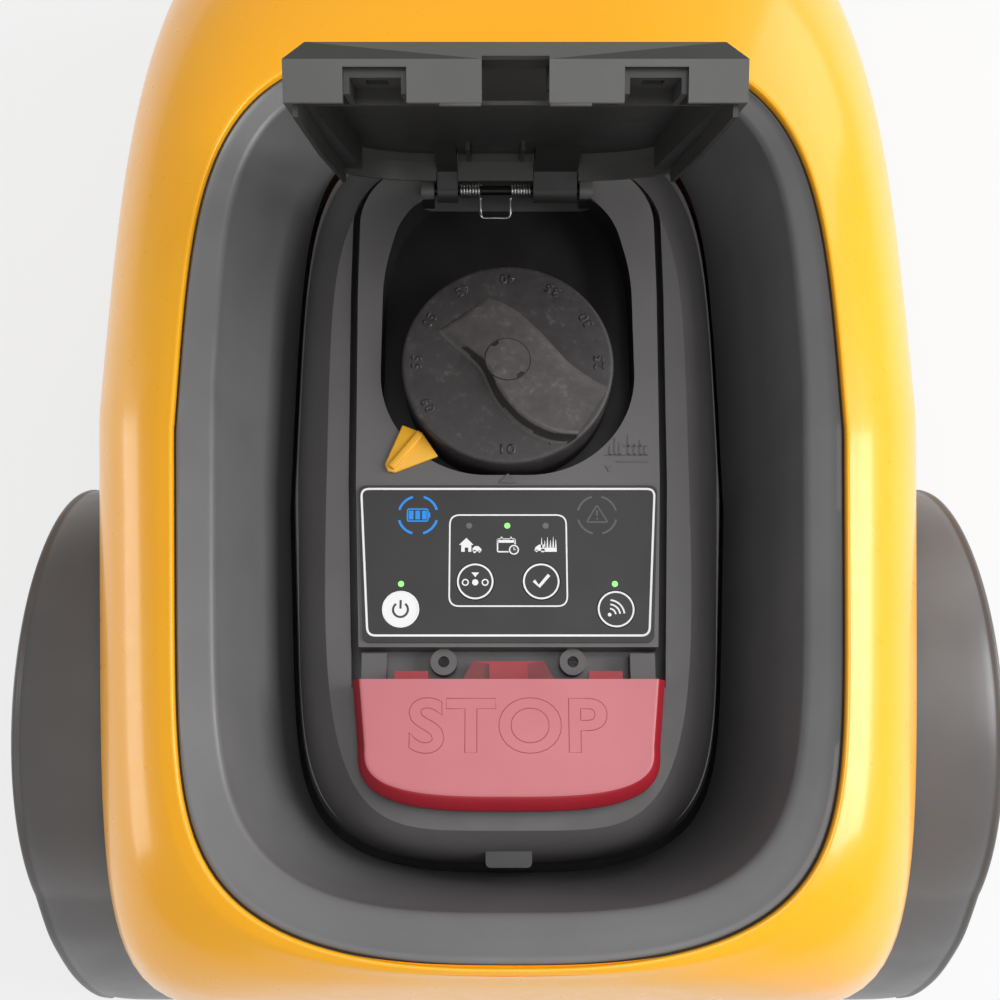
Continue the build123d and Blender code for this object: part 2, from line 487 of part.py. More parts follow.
# ---- console -----------------------------------------------------------------------------------
def console_pieces():
    outer = stack([(DECK_Z, grown(BOWL, -4.5)), (186, grown(BOWL, -3.2)), (197, grown(BOWL, -3.7)),
                   (208, SHOULDER), (217, grown(ISLAND, -2)), (ISLAND_Z, grown(ISLAND, -8))])
    inner = stack([(DECK_Z - 1, grown(BOWL, -7.5)), (186, grown(BOWL, -6.2)), (197, grown(BOWL, -6.7)),
                   (208, grown(SHOULDER, -4)), (ISLAND_Z - 3, grown(ISLAND, -8))])
    base = outer - inner
    ledge = stack([(203, grown(BOWL, -5.5)), (206, grown(BOWL, -5.5))], ruled=True)
    ledge -= prism_z(panel_face(-5, -5), 200, 210) + prism_z(pocket_face(3.2), 200, 210)
    base += ledge
    base -= prism_z(panel_face(3.2, 0.4, front=61.8), 206, 230)
    base -= block(-48, 48, -173.5, -166, 212, 230)
    base -= post(0, -181, 210, 230, 3.2)
    for x in (-36, 36):
        lug = block(x - 2.5, x + 2.5, STOP_PIVOT_Y - 2.6, STOP_PIVOT_Y + 2.6, ISLAND_Z - 1, STOP_PIVOT_Z)
        lug += bar_x(x - 2.5, x + 2.5, STOP_PIVOT_Y, STOP_PIVOT_Z, 2.6)
        base += lug
    base -= bar_x(-50, 50, STOP_PIVOT_Y, STOP_PIVOT_Z, 1.5)
    save("console_base", base)
    save("stop_pivot", bar_x(-46, 46, STOP_PIVOT_Y, STOP_PIVOT_Z, 1.5))
    tab_plan = [(-8.8, -233.4), (8.8, -233.4), (8.8, -222.5), (-8.8, -222.5)]
    tab = prism_z(rounded_polygon(tab_plan, [2, 2, 4, 4]), 199, 215)
    tab = tab - outer
    save("rear_tab", tab)

    plate = prism_z(panel_face(), 221.5, PANEL_Z)
    skirt = prism_z(panel_face(), 206, PANEL_Z) - prism_z(panel_face(-2, -2), 200, 221.5)
    wall = prism_z(pocket_face(2.8), 203.4, PANEL_Z)
    panel = plate + skirt + wall
    panel -= prism_z(pocket_face(), 206, 240)
    # sunk strip in front of the stop flap, with its two side posts and screw bosses
    panel -= block(-70, 70, -170, -151, 212.5, 240)
    panel += block(-57, 57, -165, -149.4, 210, 212.5) + block(-58, 58, -151, -149.4, 210, 222)
    for side in (-1, 1):
        panel += block(side * 47.5, side * 57.2, -164.5, -153, 212.5, 221.2)
        panel += post(side * 25.3, -156, 212.5, 219, 5.2)
        panel -= post(side * 25.3, -156, 205, 221, 2.2)
    panel += (block(-37, -31.4, HINGE_Y - 5, HINGE_Y + 5, 215, HINGE_Z)
              + block(31.4, 37, HINGE_Y - 5, HINGE_Y + 5, 215, HINGE_Z)
              + bar_x(-37, -31.4, HINGE_Y, HINGE_Z, 4.6) + bar_x(31.4, 37, HINGE_Y, HINGE_Z, 4.6))
    panel -= bar_x(-38, 38, HINGE_Y, HINGE_Z, 2.0)
    panel -= post(0, AXIS_Y, 200, 210, SHAFT_R + FIT)
    for x, y in KEYS.values():
        panel -= post(x, y, 215, 230, KEY_R + GAP)
    for x, y in LAMPS:
        panel -= post(x, y, 215, 230, 1.2)
    save("console_panel", panel)
    save("hinge_pin", bar_x(-37, 37, HINGE_Y, HINGE_Z, 2.0))

    overlay_plan = [(-60.3, -85.6), (60.3, -85.6), (56.6, -149.4), (-56.6, -149.4)]
    overlay = prism_z(rounded_polygon(overlay_plan, [3, 3, 3, 3]), PANEL_Z, OVERLAY_Z)
    for x, y in KEYS.values():
        overlay -= post(x, y, 220, 230, KEY_R + GAP)
    for x, y in LAMPS:
        overlay -= post(x, y, 220, 230, 1.2)
    save("keypad_overlay", overlay)
    save("indicator_lenses", Compound([post(x, y, 219, OVERLAY_Z, 1.2).solid() for x, y in LAMPS]))
    for name, (x, y) in KEYS.items():
        cap = post(x, y, 221.2, OVERLAY_Z + 0.1, KEY_R) + post(x, y, 219.9, 221.2, KEY_R + 1.5)
        save(f"key_{name}", cap)
    board = block(-54, 54, -146, -92, 215.4, 217)
    for x, y in KEYS.values():
        board += post(x, y, 217, 218.9, 3)
    for x, y in [(-50, -95), (50, -95), (-24, -143), (24, -143)]:
        board += post(x, y, 217, 221.5, 2.5)
    save("keypad_board", board)

    arrow_plan = [(-43, -60), (-35, -63), (-28, -73.5), (-46, -80.6), (-50, -76.7)]
    arrow = prism_z(make_face(Polyline(*arrow_plan, close=True)), PANEL_Z, PANEL_Z + 2.2)
    arrow = chamfer(arrow.faces().sort_by(Axis.Z)[-1].edges(), 0.9)
    arrow -= prism_z(pocket_face(0.2), 222.0, 230)
    save("height_pointer", arrow)

    screws = []
    for x in (-25.3, 25.3):
        screws.append(post(x, -156, 207, 217.5, 2.2))
    save("console_screws", Compound([s.solid() for s in screws]))

    switch = block(-10, 10, -186, -176, 206, 218.6) + post(0, -181, 218.6, 222.9, 2.2)
    save("stop_switch", switch)


# ---- stop button -------------------------------------------------------------------------------
def stop_pieces():
    plan = [(-STOP_HW, STOP_FRONT), (STOP_HW, STOP_FRONT), (54.5, STOP_REAR), (-54.5, STOP_REAR)]
    flap = prism_z(rounded_polygon(plan, [0, 0, 18, 18]), 225, STOP_TOP)
    top = flap.faces().sort_by(Axis.Z)[-1].edges()
    flap = chamfer([e for e in top if e.center().Y < STOP_FRONT - 1], 3.4)
    hollow = [(-STOP_HW + 2.6, STOP_FRONT - 2.4), (STOP_HW - 2.6, STOP_FRONT - 2.4),
              (51.6, STOP_REAR + 2.6), (-51.6, STOP_REAR + 2.6)]
    void = prism_z(rounded_polygon(hollow, [0, 0, 15, 15]), 224, STOP_TOP - 2.4)
    void = chamfer([e for e in void.faces().sort_by(Axis.Z)[-1].edges() if e.center().Y < STOP_FRONT - 3], 3)
    flap -= void
    flap += post(0, -181, 225, STOP_TOP - 2, 3)
    for x in (-42, 42):
        eye = bar_x(x - 2, x + 2, STOP_PIVOT_Y, STOP_PIVOT_Z, 3.2)
        eye += block(x - 2, x + 2, STOP_PIVOT_Y - 2.5, STOP_PIVOT_Y + 2.5, STOP_PIVOT_Z, STOP_TOP - 2.2)
        flap += eye
    flap -= bar_x(-46.1, 46.1, STOP_PIVOT_Y, STOP_PIVOT_Z, 1.5 + FIT)
    save("stop_flap", flap)

    bar = block(-46, 46, STOP_FRONT - 7, STOP_FRONT - 2.4, 224.8, STOP_TOP - 2.4)
    wing_plan = [(-18.7, -167.4), (18.7, -167.4), (18.7, -164.6), (14, -156), (-14, -156), (-18.7, -164.6)]
    wing = prism_z(make_face(Polyline(*wing_plan, close=True)), 217.5, 220.5)
    wing += block(-7.5, 7.5, -167.4, -157, 217.5, 221.8)
    wing += block(-18.7, 18.7, -172, -167.4, 217.5 + 5.2, 226)
    wing += block(-18.7, 18.7, -168.6, -165.8, 217.5, 225)
    hooks = None
    for side in (-1, 1):
        hook = block(side * 31, side * 44, -170, -160.5, 222.9, 225)
        hook += block(side * 31, side * 44, -168.4, -165.9, 218.5, 225)
        hooks = hook if hooks is None else hooks + hook
    latch = bar + wing + hooks
    save("stop_latch", latch)
    springs = [Pos(x, -186, ISLAND_Z) * spring_solid(STOP_TOP - 2.4 - ISLAND_Z, 3.2, 0.5, 7) for x in (-26, 26)]
    save("stop_springs", Compound([s.solid() for s in springs]))


# ---- lid ---------------------------------------------------------------------------------------
LID_TOP = 239.5
LID_FRONT = 41.0
LID_LIP = 222.8                                           # lower edge of the lid's outer wall


def opened(shape):
    """Swing a piece of the lid from shut to open about the hinge pin."""
    return Pos(0, HINGE_Y, HINGE_Z) * Rot(-LID_OPEN, 0, 0) * Pos(0, -HINGE_Y, -HINGE_Z) * shape


def lid_plan(side, end):
    """Plan of the lid, grown by side and by end."""
    return panel_face(side, 0, rear=LID_END - end, front=LID_FRONT + end, corner=37.5)


def lid_pieces():
    shell = prism_z(lid_plan(4.2, 0), LID_LIP, LID_TOP)
    top = shell.faces().sort_by(Axis.Z)[-1].edges()
    shell = chamfer(top, 5.5)
    void = prism_z(lid_plan(2.0, -2.2), LID_LIP - 5, LID_TOP - 2.2)
    void = chamfer(void.faces().sort_by(Axis.Z)[-1].edges(), 4.5)
    shell -= void
    for side in (-1, 1):
        shell -= block(side * 29, side * 46, LID_END - 3, LID_END + 4, LID_LIP - 4, 232)
    for x0, x1 in ((-30.2, -20.9), (11.1, 30.4)):
        shell -= block(x0, x1, LID_FRONT - 9, LID_FRONT + 5, LID_LIP - 5, LID_TOP - 2.2)
    shell -= block(-80, 80, -2, 60, LID_LIP - 5, PANEL_Z + 1)
    shell -= block(-9, 9, LID_END - 3, LID_END + 4, LID_LIP - 5, 235)
    save("lid_shell", opened(shell))

    # inner frame: tongues for the slots, the end plate with its latch pockets, ribs and hinge arms
    tongue = prism_z(panel_face(2.0, 0), 219.5, 225.4) - prism_z(panel_face(0.6, 20), 210, 230)
    tongue &= block(-80, 80, LID_END + 3, -5, 200, 240)
    ceiling = LID_TOP - 2.2
    end_y = LID_END + 2.2
    whole = prism_z(lid_plan(2.0, 0), 200, 240)
    frame = tongue + (whole & block(-80, 80, end_y, LID_FRONT, ceiling - 1.5, ceiling))
    frame += whole & block(-80, 80, LID_END, LID_END + 21, 229.6, 232)
    frame += block(-62, 62, LID_END + 19, LID_END + 21, 225.4, ceiling)
    for side in (-1, 1):
        frame += whole & block(side * 57.4, side * 80, end_y, -2, 225.2, ceiling)
        for x in (29, 44.4):
            frame += block(side * x, side * (x + 1.6), end_y, LID_END + 20, 225.4, 231)
        frame -= block(side * 34.5, side * 40.5, LID_END + 6, LID_END + 12, 225, 234)
    frame -= block(-9, 9, LID_END - 5, LID_END + 30, 226.5, ceiling - 1.5)
    for x in (-16, 6):
        frame += block(x - 0.8, x + 0.8, 0, LID_FRONT - 4, 232.5, ceiling)
    frame &= void
    pin_hole = bar_x(-60, 60, HINGE_Y, HINGE_Z, 2.0 + FIT)
    arm_side = [(8, ceiling), (LID_FRONT, ceiling), (HINGE_Y + 2, 229), (HINGE_Y + 5.2, HINGE_Z),
                (HINGE_Y - 5.2, HINGE_Z), (HINGE_Y - 8, 229), (24, 232)]
    for x0, x1 in ((-29.9, -21.2), (11.4, 30.1)):
        frame += prism_x(arm_side, x0, x1) + bar_x(x0, x1, HINGE_Y, HINGE_Z, 5.2)
    frame -= pin_hole
    save("lid_inner", opened(frame))

    coils = []
    for x0, length in ((-20.4, 9.0), (1.6, 9.0)):
        coil = spring_solid(length, 3.2, 0.65, 7)
        coils.append(Pos(x0, HINGE_Y, HINGE_Z) * Rot(0, 90, 0) * coil)
    loop_y = HINGE_Y - 9
    loop = (bar_x(-11.4, 1.6, loop_y, HINGE_Z - 7, 0.65)
            + block(-11.9, -10.9, loop_y, HINGE_Y - 2.6, HINGE_Z - 7.6, HINGE_Z - 2.2)
            + block(1.1, 2.1, loop_y, HINGE_Y - 2.6, HINGE_Z - 7.6, HINGE_Z - 2.2))
    save("lid_spring", coils[0] + coils[1] + loop)


# ---- height knob -------------------------------------------------------------------------------
def knob_pieces():
    skirt = post(0, AXIS_Y, 207, KNOB_FACE, KNOB_R)
    skirt = fillet(skirt.edges().filter_by(GeomType.CIRCLE).sort_by(Axis.Z)[-1], 1.5)
    skirt -= post(0, AXIS_Y, 206, KNOB_FACE - 3, KNOB_R - 3) - post(0, AXIS_Y, 206, KNOB_FACE - 3, 14)
    end_r = KNOB_R - 1.5
    right_end = (end_r * math.cos(math.radians(-16)), end_r * math.sin(math.radians(-16)))
    low_end = (end_r * math.cos(math.radians(-49)), end_r * math.sin(math.radians(-49)))
    mid_end = (end_r * math.cos(math.radians(-32)), end_r * math.sin(math.radians(-32)))
    upper = Spline((-8.6, 28.3), (5, 20.5), (15, 10), (25.4, -2), right_end)
    outer = ThreePointArc(right_end, mid_end, low_end)
    lower = Spline(low_end, (13, -28.7), (0.8, -18.4), (-4.5, -10), (-8.2, -2), (-15.6, 6), (-25.8, 15.6))
    tip = ThreePointArc((-25.8, 15.6), (-19.7, 24.6), (-8.6, 28.3))
    grip = Pos(0, AXIS_Y, 0) * prism_z(make_face([upper, outer, lower, tip]), KNOB_FACE - 1, GRIP_Z)
    grip = chamfer(grip.faces().sort_by(Axis.Z)[-1].edges(), 0.8)
    knob = skirt + grip
    knob -= post(0, AXIS_Y, 205, KNOB_FACE - 1.5, SHAFT_R)
    knob -= post(0, AXIS_Y, GRIP_Z - 1.2, GRIP_Z + 2, 9.3)
    save("height_knob", knob)
    cap = post(0, AXIS_Y, GRIP_Z - 1.2, GRIP_Z - 0.2, 9.1)
    cap -= block(-9.2, -7.4, AXIS_Y - 1.2, AXIS_Y + 1.2, 230, 240)
    cap -= block(7.4, 9.2, AXIS_Y - 1.2, AXIS_Y + 1.2, 230, 240)
    save("knob_cap", cap)
    shaft = post(0, AXIS_Y, 138, KNOB_FACE - 1.5, SHAFT_R)
    save("knob_shaft", chamfer(shaft.edges().filter_by(GeomType.CIRCLE).sort_by(Axis.Z)[0], 1.5))


cover_pieces()
float_pieces()
chassis_pieces()
fender_pieces()
wheel_pieces()
caster_pieces()
deck_pieces()
console_pieces()
stop_pieces()
lid_pieces()
knob_pieces()
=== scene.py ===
"""Looks of the robotic lawn mower: smooth shells, printed keypad, knob, springs, materials, light."""
import bpy
import bmesh
import json
import math
from mathutils import Matrix, Vector
from mathutils.bvhtree import BVHTree


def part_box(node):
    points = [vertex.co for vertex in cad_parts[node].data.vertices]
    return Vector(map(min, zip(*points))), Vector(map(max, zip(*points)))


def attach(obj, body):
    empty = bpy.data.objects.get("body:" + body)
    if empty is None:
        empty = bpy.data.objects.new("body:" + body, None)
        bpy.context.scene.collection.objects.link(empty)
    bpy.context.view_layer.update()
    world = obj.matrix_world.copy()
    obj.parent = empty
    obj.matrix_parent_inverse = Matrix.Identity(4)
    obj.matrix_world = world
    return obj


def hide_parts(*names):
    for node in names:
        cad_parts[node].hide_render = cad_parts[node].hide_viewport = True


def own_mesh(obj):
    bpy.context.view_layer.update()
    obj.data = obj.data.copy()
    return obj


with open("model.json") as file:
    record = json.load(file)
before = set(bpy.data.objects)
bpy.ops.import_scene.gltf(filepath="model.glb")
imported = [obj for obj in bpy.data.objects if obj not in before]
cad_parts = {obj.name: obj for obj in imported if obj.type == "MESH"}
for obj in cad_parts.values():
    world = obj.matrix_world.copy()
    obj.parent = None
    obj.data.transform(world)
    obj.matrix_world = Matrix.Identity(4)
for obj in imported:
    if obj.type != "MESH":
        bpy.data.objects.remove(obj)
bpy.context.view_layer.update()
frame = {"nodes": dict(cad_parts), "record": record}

MM = 0.001
NODES = frame["nodes"]
COLUMNS = 256                          # points round each shell outline


# ---- places worked out from the frame -----------------------------------------------------------
def low(node):
    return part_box(node)[0]


def high(node):
    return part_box(node)[1]


RIM_Z = high("trough_liner").z         # rim of the bowl
HEM_Z = low("outer_cover").z
FENDER_X = high("fender_right").x
WHEEL_R = high("tyre_right").z / 2
WHEEL_Y = (low("tyre_right").y + high("tyre_right").y) / 2
KNOB_Y = (low("height_knob").y + high("height_knob").y) / 2
KNOB_R = (high("height_knob").x - low("height_knob").x) / 2
GRIP_Z = high("height_knob").z
KNOB_FACE = GRIP_Z - 3.5 * MM
FILM_Z = high("keypad_overlay").z
PIN_LOW, PIN_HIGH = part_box("hinge_pin")
HINGE = Vector((0, (PIN_LOW.y + PIN_HIGH.y) / 2, (PIN_LOW.z + PIN_HIGH.z) / 2))
FLAP_LOW, FLAP_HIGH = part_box("stop_flap")


# ---- materials ---------------------------------------------------------------------------------
def new_material(name, colour, roughness, **sockets):
    """Principled material with the constant values set on its own sockets."""
    mat = bpy.data.materials.new(name)
    mat.use_nodes = True
    shader = mat.node_tree.nodes["Principled BSDF"]
    shader.inputs["Base Color"].default_value = (*colour, 1)
    shader.inputs["Roughness"].default_value = roughness
    for key, value in sockets.items():
        shader.inputs[key.replace("_", " ")].default_value = value
    return mat, mat.node_tree, shader


def coords(tree):
    return tree.nodes.new("ShaderNodeTexCoord").outputs["Object"]


def noise(tree, scale, detail=3.0, rough=0.5, stretch=None):
    node = tree.nodes.new("ShaderNodeTexNoise")
    node.inputs["Scale"].default_value = scale
    node.inputs["Detail"].default_value = detail
    node.inputs["Roughness"].default_value = rough
    source = coords(tree)
    if stretch:
        mapping = tree.nodes.new("ShaderNodeMapping")
        mapping.inputs["Scale"].default_value = stretch
        tree.links.new(source, mapping.inputs["Vector"])
        source = mapping.outputs["Vector"]
    tree.links.new(source, node.inputs["Vector"])
    return node.outputs["Fac"]


def ramp(tree, fac, stops):
    node = tree.nodes.new("ShaderNodeValToRGB")
    while len(node.color_ramp.elements) < len(stops):
        node.color_ramp.elements.new(0.5)
    for element, (position, colour) in zip(node.color_ramp.elements, stops):
        element.position = position
        element.color = (*colour, 1)
    tree.links.new(fac, node.inputs["Fac"])
    return node.outputs["Color"]


def bump(tree, shader, height, strength, distance):
    node = tree.nodes.new("ShaderNodeBump")
    node.inputs["Strength"].default_value = strength
    node.inputs["Distance"].default_value = distance
    tree.links.new(height, node.inputs["Height"])
    tree.links.new(node.outputs["Normal"], shader.inputs["Normal"])


def scaled(colour, k):
    return tuple(min(1.0, c * k) for c in colour)


def moulded(name, colour, roughness, grain=2600, depth=0.00003, mottle=0.06, **sockets):
    """Moulded plastic: fine eroded texture, faint colour drift and uneven gloss."""
    mat, tree, shader = new_material(name, colour, roughness, **sockets)
    shades = [(0.3, scaled(colour, 1 - mottle)), (0.7, scaled(colour, 1 + mottle))]
    drift = ramp(tree, noise(tree, 28, 4), shades)
    tree.links.new(drift, shader.inputs["Base Color"])
    levels = [(0.3, (roughness * 0.9,) * 3), (0.72, (min(1, roughness * 1.12),) * 3)]
    gloss = ramp(tree, noise(tree, 65, 5), levels)
    tree.links.new(gloss, shader.inputs["Roughness"])
    bump(tree, shader, noise(tree, grain, 2), 0.5, depth)
    return mat


def worn(name, colour, roughness, scuff):
    """Handled plastic: moulded, with pale scuffs and smears."""
    mat, tree, shader = new_material(name, colour, roughness)
    patches = noise(tree, 95, 9, 0.72)
    smear = noise(tree, 320, 6, 0.65)
    mix = tree.nodes.new("ShaderNodeMath")
    mix.operation = "MULTIPLY"
    tree.links.new(patches, mix.inputs[0])
    tree.links.new(smear, mix.inputs[1])
    shade = ramp(tree, mix.outputs[0], [(0.18, scaled(colour, 0.86)), (0.30, colour), (0.46, scuff)])
    tree.links.new(shade, shader.inputs["Base Color"])
    gloss = ramp(tree, patches, [(0.35, (roughness * 0.8,) * 3), (0.65, (min(1, roughness * 1.2),) * 3)])
    tree.links.new(gloss, shader.inputs["Roughness"])
    bump(tree, shader, mix.outputs[0], 0.35, 0.0002)
    return mat


def metal(name, colour, roughness, stretch=(1, 1, 24)):
    """Metal with fine drawn or ground lines."""
    mat, tree, shader = new_material(name, colour, roughness, Metallic=1.0)
    lines = noise(tree, 900, 3, 0.6, stretch=stretch)
    gloss = ramp(tree, lines, [(0.3, (roughness * 0.75,) * 3), (0.7, (min(1, roughness * 1.4),) * 3)])
    tree.links.new(gloss, shader.inputs["Roughness"])
    bump(tree, shader, lines, 0.25, 0.00003)
    return mat


def rubbery(name, colour, roughness=0.75):
    """Rubber with dust in its grain."""
    mat, tree, shader = new_material(name, colour, roughness)
    dust = ramp(tree, noise(tree, 140, 8, 0.7), [(0.45, colour), (0.75, scaled(colour, 2.2))])
    tree.links.new(dust, shader.inputs["Base Color"])
    bump(tree, shader, noise(tree, 1500, 3), 0.6, 0.00006)
    return mat


YELLOW = (1.0, 0.44, 0.006)


def cover_paint():
    """Gloss-moulded yellow cover: clear top layer, faint orange peel and fine dust."""
    mat, tree, shader = new_material("cover_yellow", YELLOW, 0.30, Coat_Weight=0.4, Coat_Roughness=0.12,
                                     Specular_IOR_Level=0.45, Subsurface_Weight=0.0)
    drift = ramp(tree, noise(tree, 6, 3), [(0.3, (1.0, 0.42, 0.005)), (0.7, (1.0, 0.47, 0.009))])
    tree.links.new(drift, shader.inputs["Base Color"])
    gloss = ramp(tree, noise(tree, 160, 5), [(0.3, (0.27,) * 3), (0.7, (0.36,) * 3)])
    tree.links.new(gloss, shader.inputs["Roughness"])
    bump(tree, shader, noise(tree, 420, 2), 0.25, 0.00002)
    return mat


MATERIALS = {
    "cover_yellow": cover_paint(),
    "trim_grey": moulded("trim_grey", (0.140, 0.138, 0.141), 0.40),
    "fender_grey": moulded("fender_grey", (0.115, 0.113, 0.116), 0.36),
    "frame_black": moulded("frame_black", (0.018, 0.018, 0.020), 0.6),
    "mount_rubber": rubbery("mount_rubber", (0.020, 0.020, 0.020)),
    "chassis_black": moulded("chassis_black", (0.022, 0.022, 0.024), 0.55),
    "screw_steel": metal("screw_steel", (0.55, 0.55, 0.56), 0.35),
    "battery_case": moulded("battery_case", (0.02, 0.035, 0.07), 0.45),
    "board_green": moulded("board_green", (0.01, 0.10, 0.035), 0.4, grain=700),
    "contact_brass": metal("contact_brass", (0.80, 0.58, 0.25), 0.25),
    "tyre": rubbery("tyre", (0.018, 0.018, 0.019)),
    "rim_grey": moulded("rim_grey", (0.070, 0.070, 0.074), 0.45),
    "shaft_steel": metal("shaft_steel", (0.60, 0.60, 0.62), 0.28, stretch=(24, 1, 1)),
    "motor_can": metal("motor_can", (0.55, 0.56, 0.58), 0.38),
    "bush_plastic": moulded("bush_plastic", (0.62, 0.60, 0.55), 0.5),
    "caster_tread": rubbery("caster_tread", (0.030, 0.030, 0.031)),
    "disc_grey": moulded("disc_grey", (0.055, 0.055, 0.060), 0.5),
    "blade_steel": metal("blade_steel", (0.66, 0.67, 0.69), 0.3),
    "console_grey": moulded("console_grey", (0.098, 0.093, 0.093), 0.42),
    "panel_grey": moulded("panel_grey", (0.115, 0.110, 0.110), 0.42),
    "keypad_film": moulded("keypad_film", (0.034, 0.032, 0.033), 0.55, grain=1800, depth=0.00001,
                           mottle=0.03),
    "lamp_lens": moulded("lamp_lens", (0.25, 0.80, 0.20), 0.2, Emission_Strength=0.6,
                         Emission_Color=(0.22, 0.75, 0.12, 1)),
    "key_white": moulded("key_white", (0.88, 0.88, 0.88), 0.4, mottle=0.02),
    "key_film": moulded("key_film", (0.034, 0.032, 0.033), 0.55, grain=1800, depth=0.00001, mottle=0.03),
    "pointer_yellow": moulded("pointer_yellow", (0.83, 0.42, 0.025), 0.4),
    "switch_black": moulded("switch_black", (0.02, 0.02, 0.02), 0.45),
    "stop_red": moulded("stop_red", (0.36, 0.014, 0.026), 0.38, depth=0.00001),
    "latch_red": moulded("latch_red", (0.20, 0.008, 0.014), 0.36),
    "spring_steel": metal("spring_steel", (0.42, 0.42, 0.42), 0.3),
    "lid_grey": moulded("lid_grey", (0.085, 0.085, 0.080), 0.42),
    "knob_grey": worn("knob_grey", (0.040, 0.036, 0.036), 0.52, (0.095, 0.088, 0.085)),
}
# Lighter pink for the flap's top face than its red edges: painted highlight, the sheen of the light on the
# top.
STOP_TOP_PAINTED_HIGHLIGHT = moulded("stop_top_painted_highlight", (0.56, 0.17, 0.19), 0.5, depth=0.00001, mottle=0.03)
STOP_LINE = moulded("stop_line", (0.36, 0.055, 0.075), 0.45, depth=0.00001, mottle=0.03)
INK_WHITE = moulded("ink_white", (0.86, 0.86, 0.86), 0.5, mottle=0.02)
INK_DIM = moulded("ink_dim", (0.105, 0.10, 0.105), 0.5, mottle=0.02)
INK_BLUE = moulded("ink_blue", (0.01, 0.22, 0.66), 0.45, mottle=0.02, Emission_Strength=0.25,
                   Emission_Color=(0.01, 0.24, 0.72, 1))
INK_DARK = moulded("ink_dark", (0.05, 0.045, 0.047), 0.5, mottle=0.02)
BLACK_OXIDE = metal("black_oxide", (0.03, 0.03, 0.032), 0.42)
TAB_GREY = moulded("tab_grey", (0.045, 0.044, 0.044), 0.45)
# Darker lid grey for the lid's inner part and the pockets at its end: painted shade.
LID_PAINTED_SHADE = moulded("lid_painted_shade", (0.034, 0.034, 0.033), 0.45)
# Near-black for the knob pocket: painted shade from the lid over it.
POCKET_PAINTED_SHADE = moulded("pocket_painted_shade", (0.010, 0.010, 0.010), 0.5)
# Darker grey for the grip's steep side turned away from the key light: painted shade; its scuffs are real
# wear.
GRIP_WALL_WEAR_AND_PAINTED_SHADE = worn("grip_wall_wear_and_painted_shade", (0.018, 0.017, 0.016), 0.5, (0.03, 0.029, 0.028))
LAMP_DIM = moulded("lamp_dim", (0.12, 0.12, 0.12), 0.3)


# ---- mesh helpers ------------------------------------------------------------------------------
def finish_piece(obj, body, material, smooth=True):
    """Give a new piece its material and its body."""
    if not obj.data.materials:
        obj.data.materials.append(material)
    if smooth and obj.type == "MESH":
        obj.data.shade_smooth()
    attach(obj, body)
    return obj


def mesh_object(name, verts, faces):
    mesh = bpy.data.meshes.new(name)
    mesh.from_pydata([tuple(v) for v in verts], [], faces)
    mesh.update()
    obj = bpy.data.objects.new(name, mesh)
    bpy.context.scene.collection.objects.link(obj)
    return obj


def ring_mesh(name, rings, close_ends=(False, False)):
    """Skin over a list of rings that have the same number of points."""
    count = len(rings[0])
    verts = [p for ring in rings for p in ring]
    faces = []
    for i in range(len(rings) - 1):
        for k in range(count):
            n = (k + 1) % count
            faces.append((i * count + k, i * count + n, (i + 1) * count + n, (i + 1) * count + k))
    if close_ends[0]:
        faces.append(tuple(range(count))[::-1])
    if close_ends[1]:
        faces.append(tuple((len(rings) - 1) * count + k for k in range(count)))
    obj = mesh_object(name, verts, faces)
    tidy_normals(obj)
    return obj


def tidy_normals(obj):
    bm = bmesh.new()
    bm.from_mesh(obj.data)
    bmesh.ops.recalc_face_normals(bm, faces=bm.faces)
    bm.to_mesh(obj.data)
    bm.free()


def apply_modifiers(obj):
    """Write an object's modifiers into its mesh."""
    graph = bpy.context.evaluated_depsgraph_get()
    mesh = bpy.data.meshes.new_from_object(obj.evaluated_get(graph))
    old = obj.data
    obj.modifiers.clear()
    obj.data = mesh
    bpy.data.meshes.remove(old)


def thicken(obj, thickness, offset=-1.0, even=True):
    mod = obj.modifiers.new("wall", "SOLIDIFY")
    mod.thickness = thickness
    mod.offset = offset
    mod.use_even_offset = even
    apply_modifiers(obj)


def soften(node, width=0.35 * MM, segments=2, angle=32):
    """Small moulded radius on the edges of a CAD piece."""
    obj = NODES[node]
    mod = obj.modifiers.new("edge", "BEVEL")
    mod.width = width
    mod.segments = segments
    mod.limit_method = "ANGLE"
    mod.angle_limit = math.radians(angle)
    mod.use_clamp_overlap = True
    mod.harden_normals = True


def rect(x0, y0, x1, y1):
    return [(x0, y0), (x1, y0), (x1, y1), (x0, y1)]


def prism(name, points, z0, z1):
    """Closed plate from an outline in XY."""
    count = len(points)
    verts = [(x, y, z0) for x, y in points] + [(x, y, z1) for x, y in points]
    faces = [tuple(range(count))[::-1], tuple(range(count, 2 * count))]
    faces += [(k, (k + 1) % count, count + (k + 1) % count, count + k) for k in range(count)]
    return mesh_object(name, verts, faces)


def joined(name, objects):
    """One object from several, keeping each one's materials."""
    bm = bmesh.new()
    materials = []
    for obj in objects:
        start = len(bm.faces)
        bm.from_mesh(obj.data)
        bm.faces.ensure_lookup_table()
        for mat in obj.data.materials:
            if mat not in materials:
                materials.append(mat)
        index = materials.index(obj.data.materials[0]) if obj.data.materials else 0
        for face in bm.faces[start:]:
            face.material_index = index
    mesh = bpy.data.meshes.new(name)
    bm.to_mesh(mesh)
    bm.free()
    for mat in materials:
        mesh.materials.append(mat)
    for obj in objects:
        bpy.data.objects.remove(obj)
    whole = bpy.data.objects.new(name, mesh)
    bpy.context.scene.collection.objects.link(whole)
    return whole


